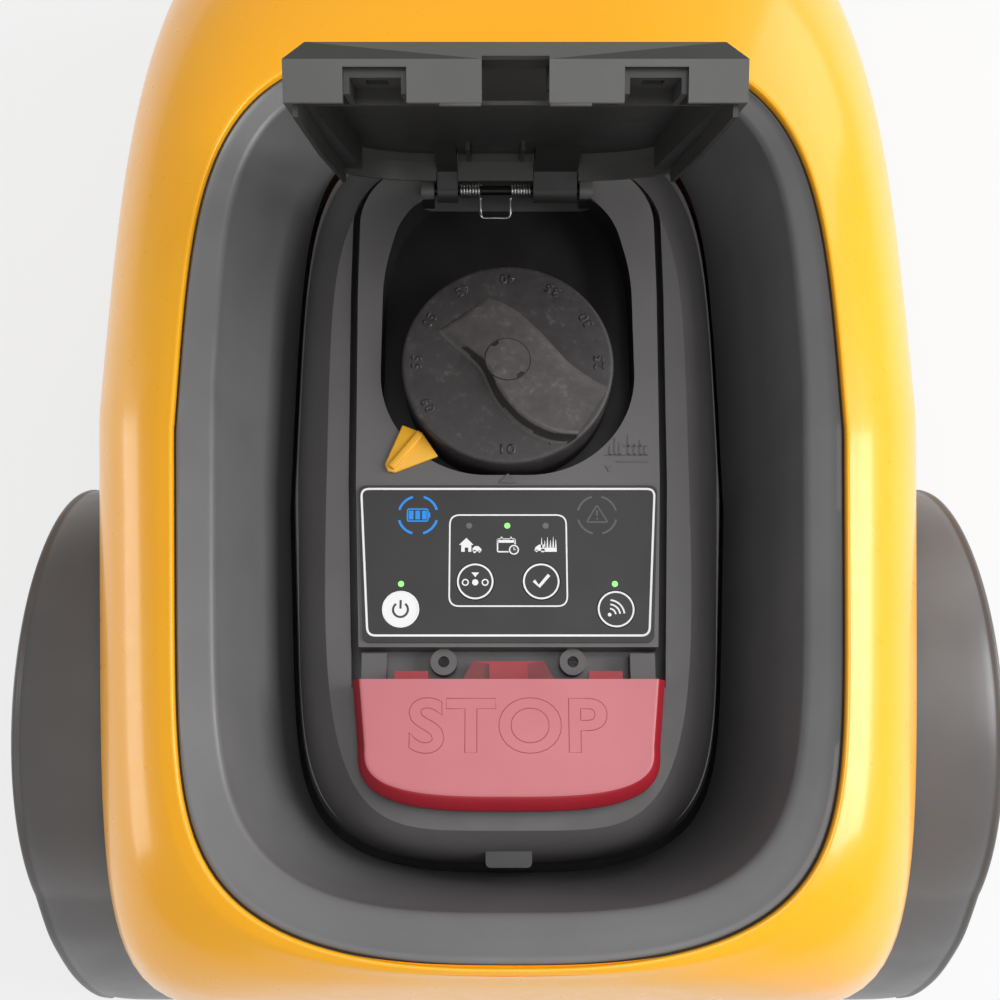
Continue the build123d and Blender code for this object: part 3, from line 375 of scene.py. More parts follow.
def tube(name, points, radius, sides=10, closed=False):
    """Round wire along a list of points."""
    rings = []
    count = len(points)
    up = Vector((0, 0, 1))
    for i, p in enumerate(points):
        before = points[i - 1] if (i or closed) else p
        after = points[(i + 1) % count] if (i < count - 1 or closed) else p
        along = (Vector(after) - Vector(before)).normalized()
        side = along.cross(up)
        if side.length < 0.05:
            side = along.cross(Vector((1, 0, 0)))
        side.normalize()
        up = side.cross(along).normalized()
        turn = [2 * math.pi * k / sides for k in range(sides)]
        rings.append([Vector(p) + radius * (math.cos(a) * side + math.sin(a) * up) for a in turn])
    if closed:
        rings.append(rings[0])
    obj = ring_mesh(name, rings, (not closed, not closed))
    if closed:
        weld(obj)
    return obj


def weld(obj, distance=1e-6):
    bm = bmesh.new()
    bm.from_mesh(obj.data)
    bmesh.ops.remove_doubles(bm, verts=bm.verts, dist=distance)
    bmesh.ops.recalc_face_normals(bm, faces=bm.faces)
    bm.to_mesh(obj.data)
    bm.free()


# ---- outlines of the shells ---------------------------------------------------------------------
def egg(outline, count):
    """Points spaced evenly along an egg-shaped outline, from the nose round past +X."""
    half, front, rear, wide, p_front, p_rear, taper, q_rear = outline
    fine = 1500
    line = []
    for i in range(fine + 1):
        t = math.pi / 2 - math.pi * i / fine
        c, s = max(0.0, math.cos(t)), math.sin(t)
        along = abs(s) ** (2 / (p_front if s > 0 else q_rear))
        x = half * c ** (2 / (p_front if s > 0 else p_rear)) * (1 - (taper * along if s < 0 else 0))
        y = wide + along * ((front - wide) if s > 0 else (rear - wide))
        line.append((x * MM, y * MM))
    lengths = [0.0]
    for a, b in zip(line, line[1:]):
        lengths.append(lengths[-1] + math.dist(a, b))
    side = []
    j = 0
    for k in range(count // 2 + 1):
        target = lengths[-1] * k / (count // 2)
        while j < fine - 1 and lengths[j + 1] < target:
            j += 1
        span = lengths[j + 1] - lengths[j]
        f = (target - lengths[j]) / span if span > 0 else 0.0
        side.append(tuple(u + f * (v - u) for u, v in zip(line[j], line[j + 1])))
    side[0] = (0.0, side[0][1])
    side[-1] = (0.0, side[-1][1])
    return side + [(-x, y) for x, y in side[-2:0:-1]]


def grown(outline, d):
    half, front, rear, *shape = outline
    return (half + d, front + d, rear - d, *shape)


def between(sections, z):
    """Outline at height z, smoothly between the listed sections, which run upwards."""
    zs = [s[0] for s in sections]
    i = max(0, min(len(zs) - 2, sum(1 for v in zs if v <= z) - 1))
    f = min(1.0, max(0.0, (z - zs[i]) / (zs[i + 1] - zs[i])))
    previous, following = sections[max(0, i - 1)], sections[min(len(sections) - 1, i + 2)]
    values = []
    for k in range(8):
        a, b = sections[i][1][k], sections[i + 1][1][k]
        span = zs[i + 1] - zs[i]
        ma = (b - previous[1][k]) / max(1e-6, zs[i + 1] - previous[0]) * span
        mb = (following[1][k] - a) / max(1e-6, following[0] - zs[i]) * span
        h = (2 * f ** 3 - 3 * f ** 2 + 1, f ** 3 - 2 * f ** 2 + f, 3 * f ** 2 - 2 * f ** 3, f ** 3 - f ** 2)
        values.append(h[0] * a + h[1] * ma + h[2] * b + h[3] * mb)
    return tuple(values)


SEAM = (126.0, 92.0, -264.8, -75.5, 3.95, 2.5, 0.11, 8.0)
CREASE = (113.6, 83.4, -248.1, -53.0, 4.05, 3.1, 0.107, 8.0)
BOWL = (93.8, 88.0, -235.5, -86.0, 5.0, 2.85, 0.106, 8.0)
COVER = [
    (95.0, (187.0, 299.0, -290.0, -5.0, 2.6, 9.5, 0.112, 8.0)),
    (120.0, (188.5, 299.6, -291.0, -5.0, 2.6, 9.5, 0.112, 8.0)),
    (150.0, (187.0, 298.0, -290.5, -12.0, 2.7, 9.8, 0.114, 8.0)),
    (175.0, (182.5, 287.0, -288.5, -25.0, 2.9, 10.2, 0.117, 8.0)),
    (200.0, (175.0, 258.0, -284.8, -42.0, 3.3, 10.6, 0.12, 8.0)),
    (215.0, (170.3, 228.0, -281.5, -52.0, 3.65, 10.5, 0.121, 8.0)),
    (228.0, (165.8, 203.0, -278.6, -58.0, 3.75, 9.0, 0.12, 8.0)),
    (240.0, (159.5, 176.0, -275.2, -64.0, 3.8, 6.5, 0.118, 8.0)),
    (250.0, (151.5, 150.0, -272.0, -69.0, 3.85, 4.6, 0.115, 8.0)),
    (258.0, (141.0, 123.0, -268.8, -73.0, 3.9, 3.3, 0.112, 8.0)),
    (262.6, (132.0, 101.5, -267.6, -75.0, 3.95, 2.7, 0.11, 8.0)),
    (263.7, (127.9, 94.4, -266.4, -75.5, 3.95, 2.52, 0.11, 8.0)),
]


ARCH_REACH = 111.0 * MM
TAIL_LINE = [(-248.0, 150.0), (-256.0, 147.0), (-265.0, 134.0), (-276.0, 114.0), (-300.0, 66.0)]


def arch_height(x, y):
    """Lower edge of the cover at a point of its outline: hem, wheel arch or cut over the fender's tail."""
    if abs(x) < 0.12:
        return HEM_Z
    reach = ARCH_REACH
    d = y - WHEEL_Y
    edge = HEM_Z
    if abs(d) < reach:
        edge = max(edge, WHEEL_R + math.sqrt(reach ** 2 - d ** 2))
    for (y0, z0), (y1, z1) in zip(TAIL_LINE, TAIL_LINE[1:]):
        if y1 * MM <= y <= y0 * MM and abs(x) > 0.14:
            edge = max(edge, (z0 + (y / MM - y0) / (y1 - y0) * (z1 - z0)) * MM)
    return edge


def outer_cover():
    levels = 46
    base = egg(COVER[2][1], COLUMNS)
    hem = [arch_height(x, y) for x, y in base]
    for _ in range(2):
        hem = [(hem[k - 1] + 2 * hem[k] + hem[(k + 1) % COLUMNS]) / 4 for k in range(COLUMNS)]
    top = COVER[-1][0]
    heights = [95.0 + (top - 95.0) * i / 120 for i in range(121)]
    table = [egg(between(COVER, z), COLUMNS) for z in heights]

    def point(k, z):
        u = (z / MM - 95.0) / (top - 95.0) * 120
        i = min(119, max(0, int(u)))
        f = min(1.0, max(0.0, u - i))
        a, b = table[i][k], table[i + 1][k]
        return (a[0] + f * (b[0] - a[0]), a[1] + f * (b[1] - a[1]), z)

    rings = []
    for i in range(levels + 1):
        u = (i / levels)
        ease = 1 - (1 - u) ** 2.0
        rings.append([point(k, hem[k] + (top * MM - hem[k]) * ease) for k in range(COLUMNS)])
    for growth, z in ((1.0, 263.85), (0.6, 263.6), (0.35, 262.6), (0.3, 259.5)):
        rings.append([(x, y, z * MM) for x, y in egg(grown(SEAM, growth), COLUMNS)])
    obj = ring_mesh("outer_cover_skin", rings)
    thicken(obj, 2.8 * MM)
    if low_corner(obj).z < HEM_Z - 0.5 * MM:
        raise SystemExit("cover skin hangs below its hem")
    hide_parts("outer_cover")
    smooth_by_angle_piece(obj, 50)
    return finish_piece(obj, "cover", MATERIALS["cover_yellow"], smooth=False)


def low_corner(obj):
    return Vector([min(v.co[i] for v in obj.data.vertices) for i in range(3)])


def smooth_by_angle_piece(obj, degrees):
    obj.data.shade_smooth()
    obj.data.set_sharp_from_angle(angle=math.radians(degrees))


def trough_liner():
    """Grey bowl: rolled rim, sloping band, rounded crease, and a wall that drops to the groove."""
    def mixed(a, b, f):
        return tuple(p + f * (q - p) for p, q in zip(a, b))
    rim = RIM_Z / MM
    profile = [(grown(SEAM, -0.35), rim - 4.5), (grown(SEAM, -0.35), rim - 1.1),
               (grown(SEAM, -0.6), rim - 0.45), (grown(SEAM, -1.2), rim - 0.15)]
    for f in (0.2, 0.4, 0.6, 0.8, 0.9):
        profile.append((mixed(SEAM, CREASE, f), rim - 0.2 - 3.9 * f ** 1.15))
    profile += [(grown(CREASE, 0.55), rim - 4.15), (CREASE, rim - 4.7),
                (mixed(CREASE, BOWL, 0.022), rim - 5.5), (mixed(CREASE, BOWL, 0.04), rim - 6.7),
                (mixed(CREASE, BOWL, 0.062), rim - 8.6)]
    for f in (0.10, 0.2, 0.32, 0.45, 0.58, 0.70, 0.80, 0.88, 0.94, 0.98, 1.0):
        profile.append((mixed(CREASE, BOWL, f), 253.4 - 68.4 * ((f - 0.062) / 0.938) ** 1.04))
    rings = []
    for outline, z in profile:
        deep = min(1.0, max(0.0, (250.0 - z) / 64.0))
        ring = []
        for x, y in egg(outline, COLUMNS):
            forward = min(1.0, max(0.0, (y / MM - 0.0) / 80.0))
            ring.append((x, y, (z + deep * 16.0 * forward ** 1.5) * MM))
        rings.append(ring)
    obj = ring_mesh("trough_liner_skin", rings)
    thicken(obj, 2.2 * MM, offset=-1.0 if faces_inward(obj) else 1.0)
    # A thin black tube laid in the seam between cover and bowl: painted shadow, not a real part.
    line = [(x, y, RIM_Z - 1.3 * MM) for x, y in egg(SEAM, COLUMNS)]
    seam = tube("seam_painted_shadow_line", line, 0.42 * MM, 6, closed=True)
    seam.data.materials.append(MATERIALS["frame_black"])
    finish_piece(seam, "cover", MATERIALS["frame_black"])
    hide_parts("trough_liner")
    smooth_by_angle_piece(obj, 50)
    return finish_piece(obj, "cover", MATERIALS["trim_grey"], smooth=False)


def faces_inward(obj):
    """True where the skin's normals look towards the middle of the bowl."""
    faces = obj.data.polygons
    votes = sum(1 if f.normal.x * f.center.x < 0 else -1 for f in faces if abs(f.center.x) > 0.09)
    return votes > 0


# ---- wheel arches --------------------------------------------------------------------------------
TAIL_PATH = [(-246.0, 147.6), (-262.5, 127.0), (-273.5, 108.0), (-283.0, 88.0), (-290.5, 67.0),
             (-296.0, 46.0), (-299.2, 24.0)]


def fender(side):
    """Roof over the wheel with a thin rolled lip, running down into a skirt behind the wheel."""
    big = 105.0
    wheel_y, wheel_z = WHEEL_Y / MM, WHEEL_R / MM
    path = []
    for i in range(60):
        a = math.radians(6 + 142 * i / 60)
        path.append((wheel_y + big * math.cos(a), wheel_z + big * math.sin(a)))
    path += catmull(TAIL_PATH, 6)
    inner, outer = low("fender_right").x / MM, FENDER_X / MM
    section = [(inner, 0.0), (inner + 15, 0.0), (inner + 30, 0.0), (inner + 40, 0.15), (outer - 7.5, 0.6),
               (outer - 4.6, 1.0), (outer - 3.6, 1.35), (outer - 3.0, 1.3), (outer - 2.3, 0.75),
               (outer - 1.3, 0.6),
               (outer - 0.5, 0.95), (outer - 0.05, 1.8), (outer, 3.0)]
    rings = []
    for i, (y, z) in enumerate(path):
        y0, z0 = path[max(0, i - 1)]
        y1, z1 = path[min(len(path) - 1, i + 1)]
        length = math.hypot(y1 - y0, z1 - z0)
        inward = ((z1 - z0) / length, -(y1 - y0) / length)
        if inward[0] * (wheel_y - y) + inward[1] * (wheel_z - z) < 0:
            inward = (-inward[0], -inward[1])
        reach = 9.0
        to_wheel = (y - wheel_y, z - wheel_z)
        while reach < 42 and math.hypot(*(t + n * reach for t, n in zip(to_wheel, inward))) > 97:
            reach += 0.5
        ring = [(x, d) for x, d in section] + [(outer, 3.0 + (reach - 3.0) * k / 4) for k in (1, 2, 3, 4)]
        rings.append([(side * x * MM, (y + inward[0] * d) * MM, (z + inward[1] * d) * MM) for x, d in ring])
    count = len(rings[0])
    verts = [p for ring in rings for p in ring]
    faces = []
    for i in range(len(rings) - 1):
        for k in range(count - 1):
            a = i * count + k
            faces.append((a, a + 1, a + count + 1, a + count))
    obj = mesh_object(f"fender_{'right' if side > 0 else 'left'}_skin", verts, faces)
    tidy_normals(obj)
    up = max(obj.data.polygons, key=lambda f: f.center.z)
    thicken(obj, 2.4 * MM, offset=-1.0 if up.normal.z > 0 else 1.0)
    smooth_by_angle_piece(obj, 48)
    return finish_piece(obj, "chassis", MATERIALS["fender_grey"], smooth=False)


# ---- stop flap -----------------------------------------------------------------------------------
def flap_outline(inset, count=36):
    """Plan of the flap: straight front edge, slightly tapered sides and a bowed rear edge."""
    front, rear, middle = FLAP_HIGH.y, FLAP_LOW.y + 1.7 * inset, -190 * MM
    half_front, half = FLAP_HIGH.x - inset, 56.8 * MM - inset
    points = [(half_front, front), (half_front + (half - half_front) * 0.5, (front + middle) / 2)]
    for i in range(count + 1):
        a = math.pi / 2 * i / count
        across, along = max(0.0, math.cos(a)) ** (2 / 3.1), math.sin(a) ** (2 / 3.1)
        points.append((half * across, middle + (rear - middle) * along))
    return points + [(-x, y) for x, y in points[-2::-1]]


def stop_flap():
    top_z = FLAP_HIGH.z
    base_z = 225.2 * MM
    layers = [(0.0, base_z), (0.0, top_z - 5.2 * MM), (0.25 * MM, top_z - 4.2 * MM),
              (2.4 * MM, top_z - 1.1 * MM),
              (3.0 * MM, top_z - 0.45 * MM), (3.6 * MM, top_z - 0.25 * MM), (4.3 * MM, top_z - 0.22 * MM)]
    rings = []
    for inset, z in layers:
        rings.append([(x, y, z) for x, y in flap_outline(inset)])
    obj = ring_mesh("stop_flap_skin", rings, (False, True))
    obj.data.materials.append(MATERIALS["stop_red"])
    obj.data.materials.append(STOP_TOP_PAINTED_HIGHLIGHT)
    # Faces on the flat top of the flap get the lighter pink: painted highlight.
    for face in obj.data.polygons:
        if face.normal.z > 0.93 and face.center.z > top_z - 0.6 * MM:
            face.material_index = 1
    thicken(obj, 2.2 * MM, even=False)
    smooth_by_angle_piece(obj, 40)
    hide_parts("stop_flap")
    finish_piece(obj, "stop_button", MATERIALS["stop_red"], smooth=False)
    stop_word(top_z - 0.22 * MM)
    return obj


def text_outline(text, width, height, centre, z):
    """Wire along the outlines of generic letters, laid flat."""
    curve = bpy.data.curves.new("word", "FONT")
    curve.body = text
    curve.align_x = "CENTER"
    curve.align_y = "CENTER"
    curve.space_character = 1.06
    curve.resolution_u = 6
    curve.offset = 0.026
    obj = bpy.data.objects.new("word", curve)
    bpy.context.scene.collection.objects.link(obj)
    bpy.context.view_layer.update()
    graph = bpy.context.evaluated_depsgraph_get()
    mesh = bpy.data.meshes.new_from_object(obj.evaluated_get(graph))
    bpy.data.objects.remove(obj)
    xs = [v.co.x for v in mesh.vertices]
    ys = [v.co.y for v in mesh.vertices]
    sx, sy = width / (max(xs) - min(xs)), height / (max(ys) - min(ys))
    mx, my = (max(xs) + min(xs)) / 2, (max(ys) + min(ys)) / 2
    for v in mesh.vertices:
        v.co = Vector(((v.co.x - mx) * sx + centre[0], (v.co.y - my) * sy + centre[1], z))
    return mesh


def loops_of(mesh):
    """Boundary loops of a flat mesh, as lists of points."""
    bm = bmesh.new()
    bm.from_mesh(mesh)
    bmesh.ops.remove_doubles(bm, verts=bm.verts, dist=1e-6)
    edges = {e for e in bm.edges if len(e.link_faces) == 1}
    loops = []
    while edges:
        edge = min(edges, key=lambda e: e.index)
        edges.discard(edge)
        start, here = edge.verts[0], edge.verts[1]
        loop = [start.co.copy(), here.co.copy()]
        while here != start:
            step = [e for e in here.link_edges if e in edges]
            if not step:
                break
            edges.discard(step[0])
            here = step[0].other_vert(here)
            loop.append(here.co.copy())
        loops.append(loop[:-1] if here == start else loop)
    bm.free()
    return loops


def stop_word(z):
    """Engraved outline of the generic word on the flap."""
    mesh = text_outline("STOP", 74 * MM, 20.5 * MM, (-0.3 * MM, -182.3 * MM), z)
    wires = [tube("letter", loop, 0.3 * MM, 6, closed=True) for loop in loops_of(mesh)]
    for wire in wires:
        for v in wire.data.vertices:
            v.co.z = z - 0.22 * MM + (v.co.z - z)
        wire.data.materials.append(STOP_LINE)
    obj = joined("stop_word", wires)
    finish_piece(obj, "stop_button", STOP_LINE)


# ---- height knob ---------------------------------------------------------------------------------
def catmull(points, steps=8):
    """Smooth line through points."""
    line = []
    for i in range(len(points) - 1):
        p0, p1, p2, p3 = points[max(0, i - 1)], points[i], points[i + 1], points[min(len(points) - 1, i + 2)]
        for s in range(steps):
            t = s / steps
            line.append(tuple(0.5 * (2 * b + (c - a) * t + (2 * a - 5 * b + 4 * c - d) * t * t
                                     + (3 * b - a - 3 * c + d) * t ** 3)
                              for a, b, c, d in zip(p0, p1, p2, p3)))
    line.append(tuple(points[-1]))
    return line


GRIP_UPPER = [(-8.6, 28.3), (-1.5, 25.2), (5, 20.5), (10.3, 15.2), (15, 10), (20.2, 3.6), (25.4, -2),
              (33, -7.6), (40.8, -11.9)]
GRIP_LOWER = [(-25.8, 15.6), (-20.4, 10.4), (-15.6, 6), (-11.4, 2.2), (-8.2, -2), (-4.5, -10), (-2.4, -13.8),
              (0.8, -18.4), (6.2, -24.2), (13, -28.7), (20, -31.4), (27.8, -32.2)]
GRIP_PROFILE = [(-0.17, -0.05), (-0.11, 0.18), (-0.05, 0.62), (-0.01, 0.9), (0.03, 1.0), (0.09, 1.0),
                (0.2, 0.95), (0.4, 0.84), (0.62, 0.68), (0.82, 0.5), (0.93, 0.36), (1.0, 0.15), (1.06, -0.05)]


def spread(points, count):
    """The same line with evenly spaced points."""
    lengths = [0.0]
    for a, b in zip(points, points[1:]):
        lengths.append(lengths[-1] + math.dist(a, b))
    line = []
    j = 0
    for k in range(count):
        target = lengths[-1] * k / (count - 1)
        while j < len(points) - 2 and lengths[j + 1] < target:
            j += 1
        f = (target - lengths[j]) / max(1e-9, lengths[j + 1] - lengths[j])
        line.append(tuple(u + f * (v - u) for u, v in zip(points[j], points[j + 1])))
    return line


def knob_grip(face, top):
    """S-shaped grip: a steep wall on one side, and a back that falls gently to the other."""
    count = 64
    upper, lower = spread(catmull(GRIP_UPPER, 8), count), spread(catmull(GRIP_LOWER, 8), count)
    profile = catmull(GRIP_PROFILE, 3)
    rings = []
    for i, (u, l) in enumerate(zip(upper, lower)):
        s = i / (count - 1)
        rise = 0.30 + 0.70 * min(1.0, s / 0.30) ** 0.8
        if i == 0:
            rise = 0.12
        ring = []
        for t, h in profile:
            x, y = l[0] + t * (u[0] - l[0]), l[1] + t * (u[1] - l[1])
            r, limit = math.hypot(x, y), KNOB_R / MM - 0.9
            if r > limit:
                x, y = x * limit / r, y * limit / r
            z = face + (top - face) * rise * h - (0.0 if h > 0 else 0.6 * MM)
            ring.append((x * MM, KNOB_Y + y * MM, z))
        rings.append(ring)
    rings.append([(x, y, face - 0.6 * MM) for x, y, z in rings[-1]])
    n = len(rings[0])
    verts = [p for ring in rings for p in ring]
    faces = []
    for i in range(len(rings) - 1):
        for k in range(n - 1):
            a = i * n + k
            faces.append((a, a + 1, a + n + 1, a + n))
    grip = mesh_object("knob_grip", verts, faces)
    tidy_normals(grip)
    if sum(f.normal.z for f in grip.data.polygons) < 0:
        grip.data.flip_normals()
    return grip


def cap_disc(grip, radius, lift, notch):
    """Round cap that follows the back of the grip, with two notches at its rim."""
    bm = bmesh.new()
    bm.from_mesh(grip.data)
    tree = BVHTree.FromBMesh(bm)
    bm.free()
    sides = 72
    rings = []
    for r in (radius, radius, radius - 0.25, radius * 0.6, radius * 0.2):
        ring = []
        for k in range(sides):
            a = 2 * math.pi * k / sides
            inset = 0.0
            if notch and r > radius * 0.8:
                near = min(abs(math.degrees(a) - g) for g in (128, 308))
                inset = 1.5 if near < 9 else 0.0
            x, y = (r - inset) * math.cos(a) * MM, (r - inset) * math.sin(a) * MM
            hit = tree.ray_cast(Vector((x, KNOB_Y + y, 1.0)), Vector((0, 0, -1)))[0]
            z = hit.z if hit else KNOB_FACE
            ring.append((x, KNOB_Y + y, z + lift))
        rings.append(ring)
    rings[0] = [(x, y, z - 1.2 * MM) for x, y, z in rings[0]]
    return ring_mesh("knob_cap_disc", rings, (True, True))


def height_knob():
    face = KNOB_FACE
    rings = []
    skirt = [(KNOB_R, low("height_knob").z), (KNOB_R, face - 1.3 * MM), (KNOB_R - 0.3 * MM, face - 0.5 * MM),
             (KNOB_R - 0.9 * MM, face - 0.08 * MM), (KNOB_R - 1.8 * MM, face), (KNOB_R - 14 * MM, face),
             (2 * MM, face)]
    sides = 144
    angles = [2 * math.pi * k / sides for k in range(sides)]
    for r, z in skirt:
        rings.append([(r * math.cos(a), KNOB_Y + r * math.sin(a), z) for a in angles])
    disc = ring_mesh("knob_disc", rings, (True, True))
    grip = knob_grip(face, GRIP_Z + 0.7 * MM)
    gap = cap_disc(grip, 9.45, 0.12 * MM, False)
    gap.name = "knob_cap_gap"
    cap = cap_disc(grip, 9.05, 0.3 * MM, True)
    for part, mat in ((disc, MATERIALS["knob_grey"]), (grip, GRIP_GREY),
                      (gap, MATERIALS["switch_black"]), (cap, GRIP_GREY)):
        part.data.materials.clear()
        part.data.materials.append(mat)
        smooth_by_angle_piece(part, 40)
        finish_piece(part, "knob", mat, smooth=False)
    # Steep faces of the grip that turn away from the key light get the darker grey: painted shade.
    grip.data.materials.append(GRIP_WALL_WEAR_AND_PAINTED_SHADE)
    for face in grip.data.polygons:
        if face.normal.z < 0.72 and face.normal.x + face.normal.y < 0.1:
            face.material_index = 1
    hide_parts("height_knob")
    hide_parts("knob_cap")
    dial_marks()


GRIP_GREY = worn("grip_grey", (0.085, 0.078, 0.076), 0.42, (0.15, 0.14, 0.135))


def dial_marks():
    """Small generic numbers and dots, faintly raised round the knob."""
    parts = []
    for i in range(22):
        a = math.radians(-90 + 15 * i)
        if i % 2 == 0:
            continue
        r = KNOB_R - 5.6 * MM
        dot = [(r * math.cos(a) + 0.55 * MM * math.cos(b), KNOB_Y + r * math.sin(a) + 0.55 * MM * math.sin(b))
               for b in (math.pi * k / 5 for k in range(10))]
        parts.append(prism("dot", dot, KNOB_FACE - 0.5 * MM, KNOB_FACE + 0.1 * MM))
    for i in range(11):
        angle = -90 + 30 * i
        mesh = text_outline(str(10 + 5 * i), 6.2 * MM, 4.4 * MM, (0, 0), 0.0)
        obj = bpy.data.objects.new("number", mesh)
        bpy.context.scene.collection.objects.link(obj)
        middle = Matrix.Translation((0, KNOB_Y, KNOB_FACE - 0.12 * MM))
        turn = middle @ Matrix.Rotation(math.radians(angle + 90), 4, "Z")
        obj.data.transform(turn @ Matrix.Translation((0, -(KNOB_R - 6.2 * MM), 0)))
        thick = obj.modifiers.new("raise", "SOLIDIFY")
        thick.thickness = 0.5 * MM
        thick.offset = 0.0
        apply_modifiers(obj)
        parts.append(obj)
    for part in parts:
        part.data.materials.clear()
        part.data.materials.append(MATERIALS["knob_grey"])
    obj = joined("knob_scale", parts)
    finish_piece(obj, "knob", MATERIALS["knob_grey"], smooth=False)


def height_pointer():
    """Yellow wedge with a raised rib along its middle."""
    z = low("height_pointer").z
    base = [(-43.0, -60.0), (-34.9, -63.2), (-28.2, -73.4), (-45.6, -80.4), (-48.6, -79.8), (-49.8, -76.8)]
    plate = prism("pointer_plate", [(x * MM, y * MM) for x, y in base], z, z + 1.6 * MM)
    ridge = [(-36.4, -62.6), (-34.2, -65.0), (-45.9, -79.4), (-48.4, -77.6)]
    rib = prism("pointer_rib", [(x * MM, y * MM) for x, y in ridge], z, z + 3.0 * MM)
    for part in (plate, rib):
        tidy_normals(part)
        edge = part.modifiers.new("edge", "BEVEL")
        edge.width = 0.6 * MM
        edge.segments = 3
        apply_modifiers(part)
        part.data.materials.append(MATERIALS["pointer_yellow"])
    obj = joined("height_pointer_wedge", [plate, rib])
    smooth_by_angle_piece(obj, 40)
    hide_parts("height_pointer")
    finish_piece(obj, "chassis", MATERIALS["pointer_yellow"], smooth=False)


# ---- springs -------------------------------------------------------------------------------------
def lid_spring():
    """Double torsion spring: two coils on the pin and a loop between them."""
    wire, coil_r = 0.62 * MM, 2.75 * MM
    pieces = []
    for x0, turns, step in ((-20.2, 7, 1.26), (1.9, 7, 1.26)):
        points = []
        for i in range(turns * 18 + 1):
            a = 2 * math.pi * i / 18
            x = x0 * MM + step * MM * i / 18
            points.append((x, HINGE.y + coil_r * math.cos(a), HINGE.z + coil_r * math.sin(a)))
        pieces.append(tube("coil", points, wire, 8))
    y0, z0 = HINGE.y - 2.7 * MM, HINGE.z - 1.2 * MM
    y, z = y0 / MM, z0 / MM
    loop = catmull([(-11.4, y, z), (-11.4, y - 3.5, z - 4.0), (-11.2, 40.3, 215.6), (-10.0, 39.6, 214.9),
                    (-4.9, 39.6, 214.9), (0.2, 39.6, 214.9), (1.4, 40.3, 215.6), (1.6, y - 3.5, z - 4.0),
                    (1.6, y, z)], 5)
    pieces.append(tube("loop", [(x * MM, y * MM, z * MM) for x, y, z in loop], wire, 8))
    for piece in pieces:
        piece.data.materials.append(MATERIALS["spring_steel"])
    obj = joined("lid_spring_wire", pieces)
    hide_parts("lid_spring")
    finish_piece(obj, "chassis", MATERIALS["spring_steel"])


def stop_springs():
    pieces = []
    for x in (-26, 26):
        points = []
        for i in range(6 * 16 + 1):
            a = 2 * math.pi * i / 16
            points.append((x * MM + 2.8 * MM * math.cos(a), -186 * MM + 2.8 * MM * math.sin(a),
                           (222.6 + 10.2 * i / 96) * MM))
        pieces.append(tube("coil", points, 0.45 * MM, 8))
    for piece in pieces:
        piece.data.materials.append(MATERIALS["spring_steel"])
    obj = joined("stop_springs_wire", pieces)
    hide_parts("stop_springs")
    finish_piece(obj, "chassis", MATERIALS["spring_steel"])
    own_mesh(obj)


# ---- lid end -----------------------------------------------------------------------------------------
LID_OPEN = math.radians(66)


def opened(obj):
    """Swing a mesh drawn for the shut lid to the open rest pose."""
    turn = Matrix.Translation(HINGE) @ Matrix.Rotation(-LID_OPEN, 4, "X") @ Matrix.Translation(-HINGE)
    obj.data.transform(turn)
    return obj


def box_piece(x0, x1, y0, y1, z0, z1, bevel=0.35):
    """Box with small rounded edges, in millimetres."""
    plan = rect(x0 * MM, y0 * MM, x1 * MM, y1 * MM)
    obj = prism("block", plan, z0 * MM, z1 * MM)
    tidy_normals(obj)
    edge = obj.modifiers.new("edge", "BEVEL")
    edge.width = bevel * MM
    edge.segments = 2
    apply_modifiers(obj)
    return obj


def lid_end_details():
    """Tabs beside the middle notch in the lid's end."""
    end = -163.6
    grey = MATERIALS["lid_grey"]
    parts = []
    for side in (-1, 1):
        x0, x1 = sorted((side * 9.2, side * 20.4))
        parts.append(box_piece(x0, x1, end + 0.2, end + 2.0, 222.0, 228.0))
    for part in parts:
        part.data.materials.append(grey)
    obj = opened(joined("lid_end_tabs", parts))
    smooth_by_angle_piece(obj, 40)
    finish_piece(obj, "lid", grey, smooth=False)


# ---- printed keypad ------------------------------------------------------------------------------
PRINT = 0.07 * MM


def arc_points(cx, cy, r, a0, a1, steps):
    return [(cx + r * math.cos(math.radians(a0 + (a1 - a0) * i / steps)),
             cy + r * math.sin(math.radians(a0 + (a1 - a0) * i / steps))) for i in range(steps + 1)]


def band(points, width, closed=False):
    """Outline of a line of even width along points (mm)."""
    count = len(points)
    left, right = [], []
    for i, (x, y) in enumerate(points):
        before = points[i - 1] if (i or closed) else points[i]
        after = points[(i + 1) % count] if (i < count - 1 or closed) else points[i]
        dx, dy = after[0] - before[0], after[1] - before[1]
        length = math.hypot(dx, dy) or 1.0
        nx, ny = -dy / length * width / 2, dx / length * width / 2
        left.append((x + nx, y + ny))
        right.append((x - nx, y - ny))
    return left, right


def stroke(points, width, ink, z=None, closed=False):
    """Printed line: a thin raised band along points, in millimetres."""
    left, right = band(points, width, closed)
    z = FILM_Z if z is None else z
    count = len(points)
    verts = []
    for zz in (z - PRINT, z + PRINT):
        verts += [(x * MM, y * MM, zz) for x, y in left] + [(x * MM, y * MM, zz) for x, y in right]
    faces = []
    last = count if closed else count - 1
    for i in range(last):
        n = (i + 1) % count
        a, b, c, d = i, n, count + n, count + i
        top = 2 * count
        faces.append((a, b, c, d))
        faces.append((top + d, top + c, top + b, top + a))
        faces.append((a, top + a, top + b, b))
        faces.append((d, c, top + c, top + d))
    if not closed:
        for i in (0, count - 1):
            faces.append((i, count + i, 3 * count + i, 2 * count + i))
    obj = mesh_object("ink", verts, faces)
    tidy_normals(obj)
    obj.data.materials.append(ink)
    return obj


def solid(points, ink, z=None, raise_by=0.0):
    """Printed filled shape, in millimetres."""
    z = FILM_Z if z is None else z
    obj = prism("ink", [(x * MM, y * MM) for x, y in points], z - PRINT, z + PRINT + raise_by)
    tidy_normals(obj)
    obj.data.materials.append(ink)
    return obj


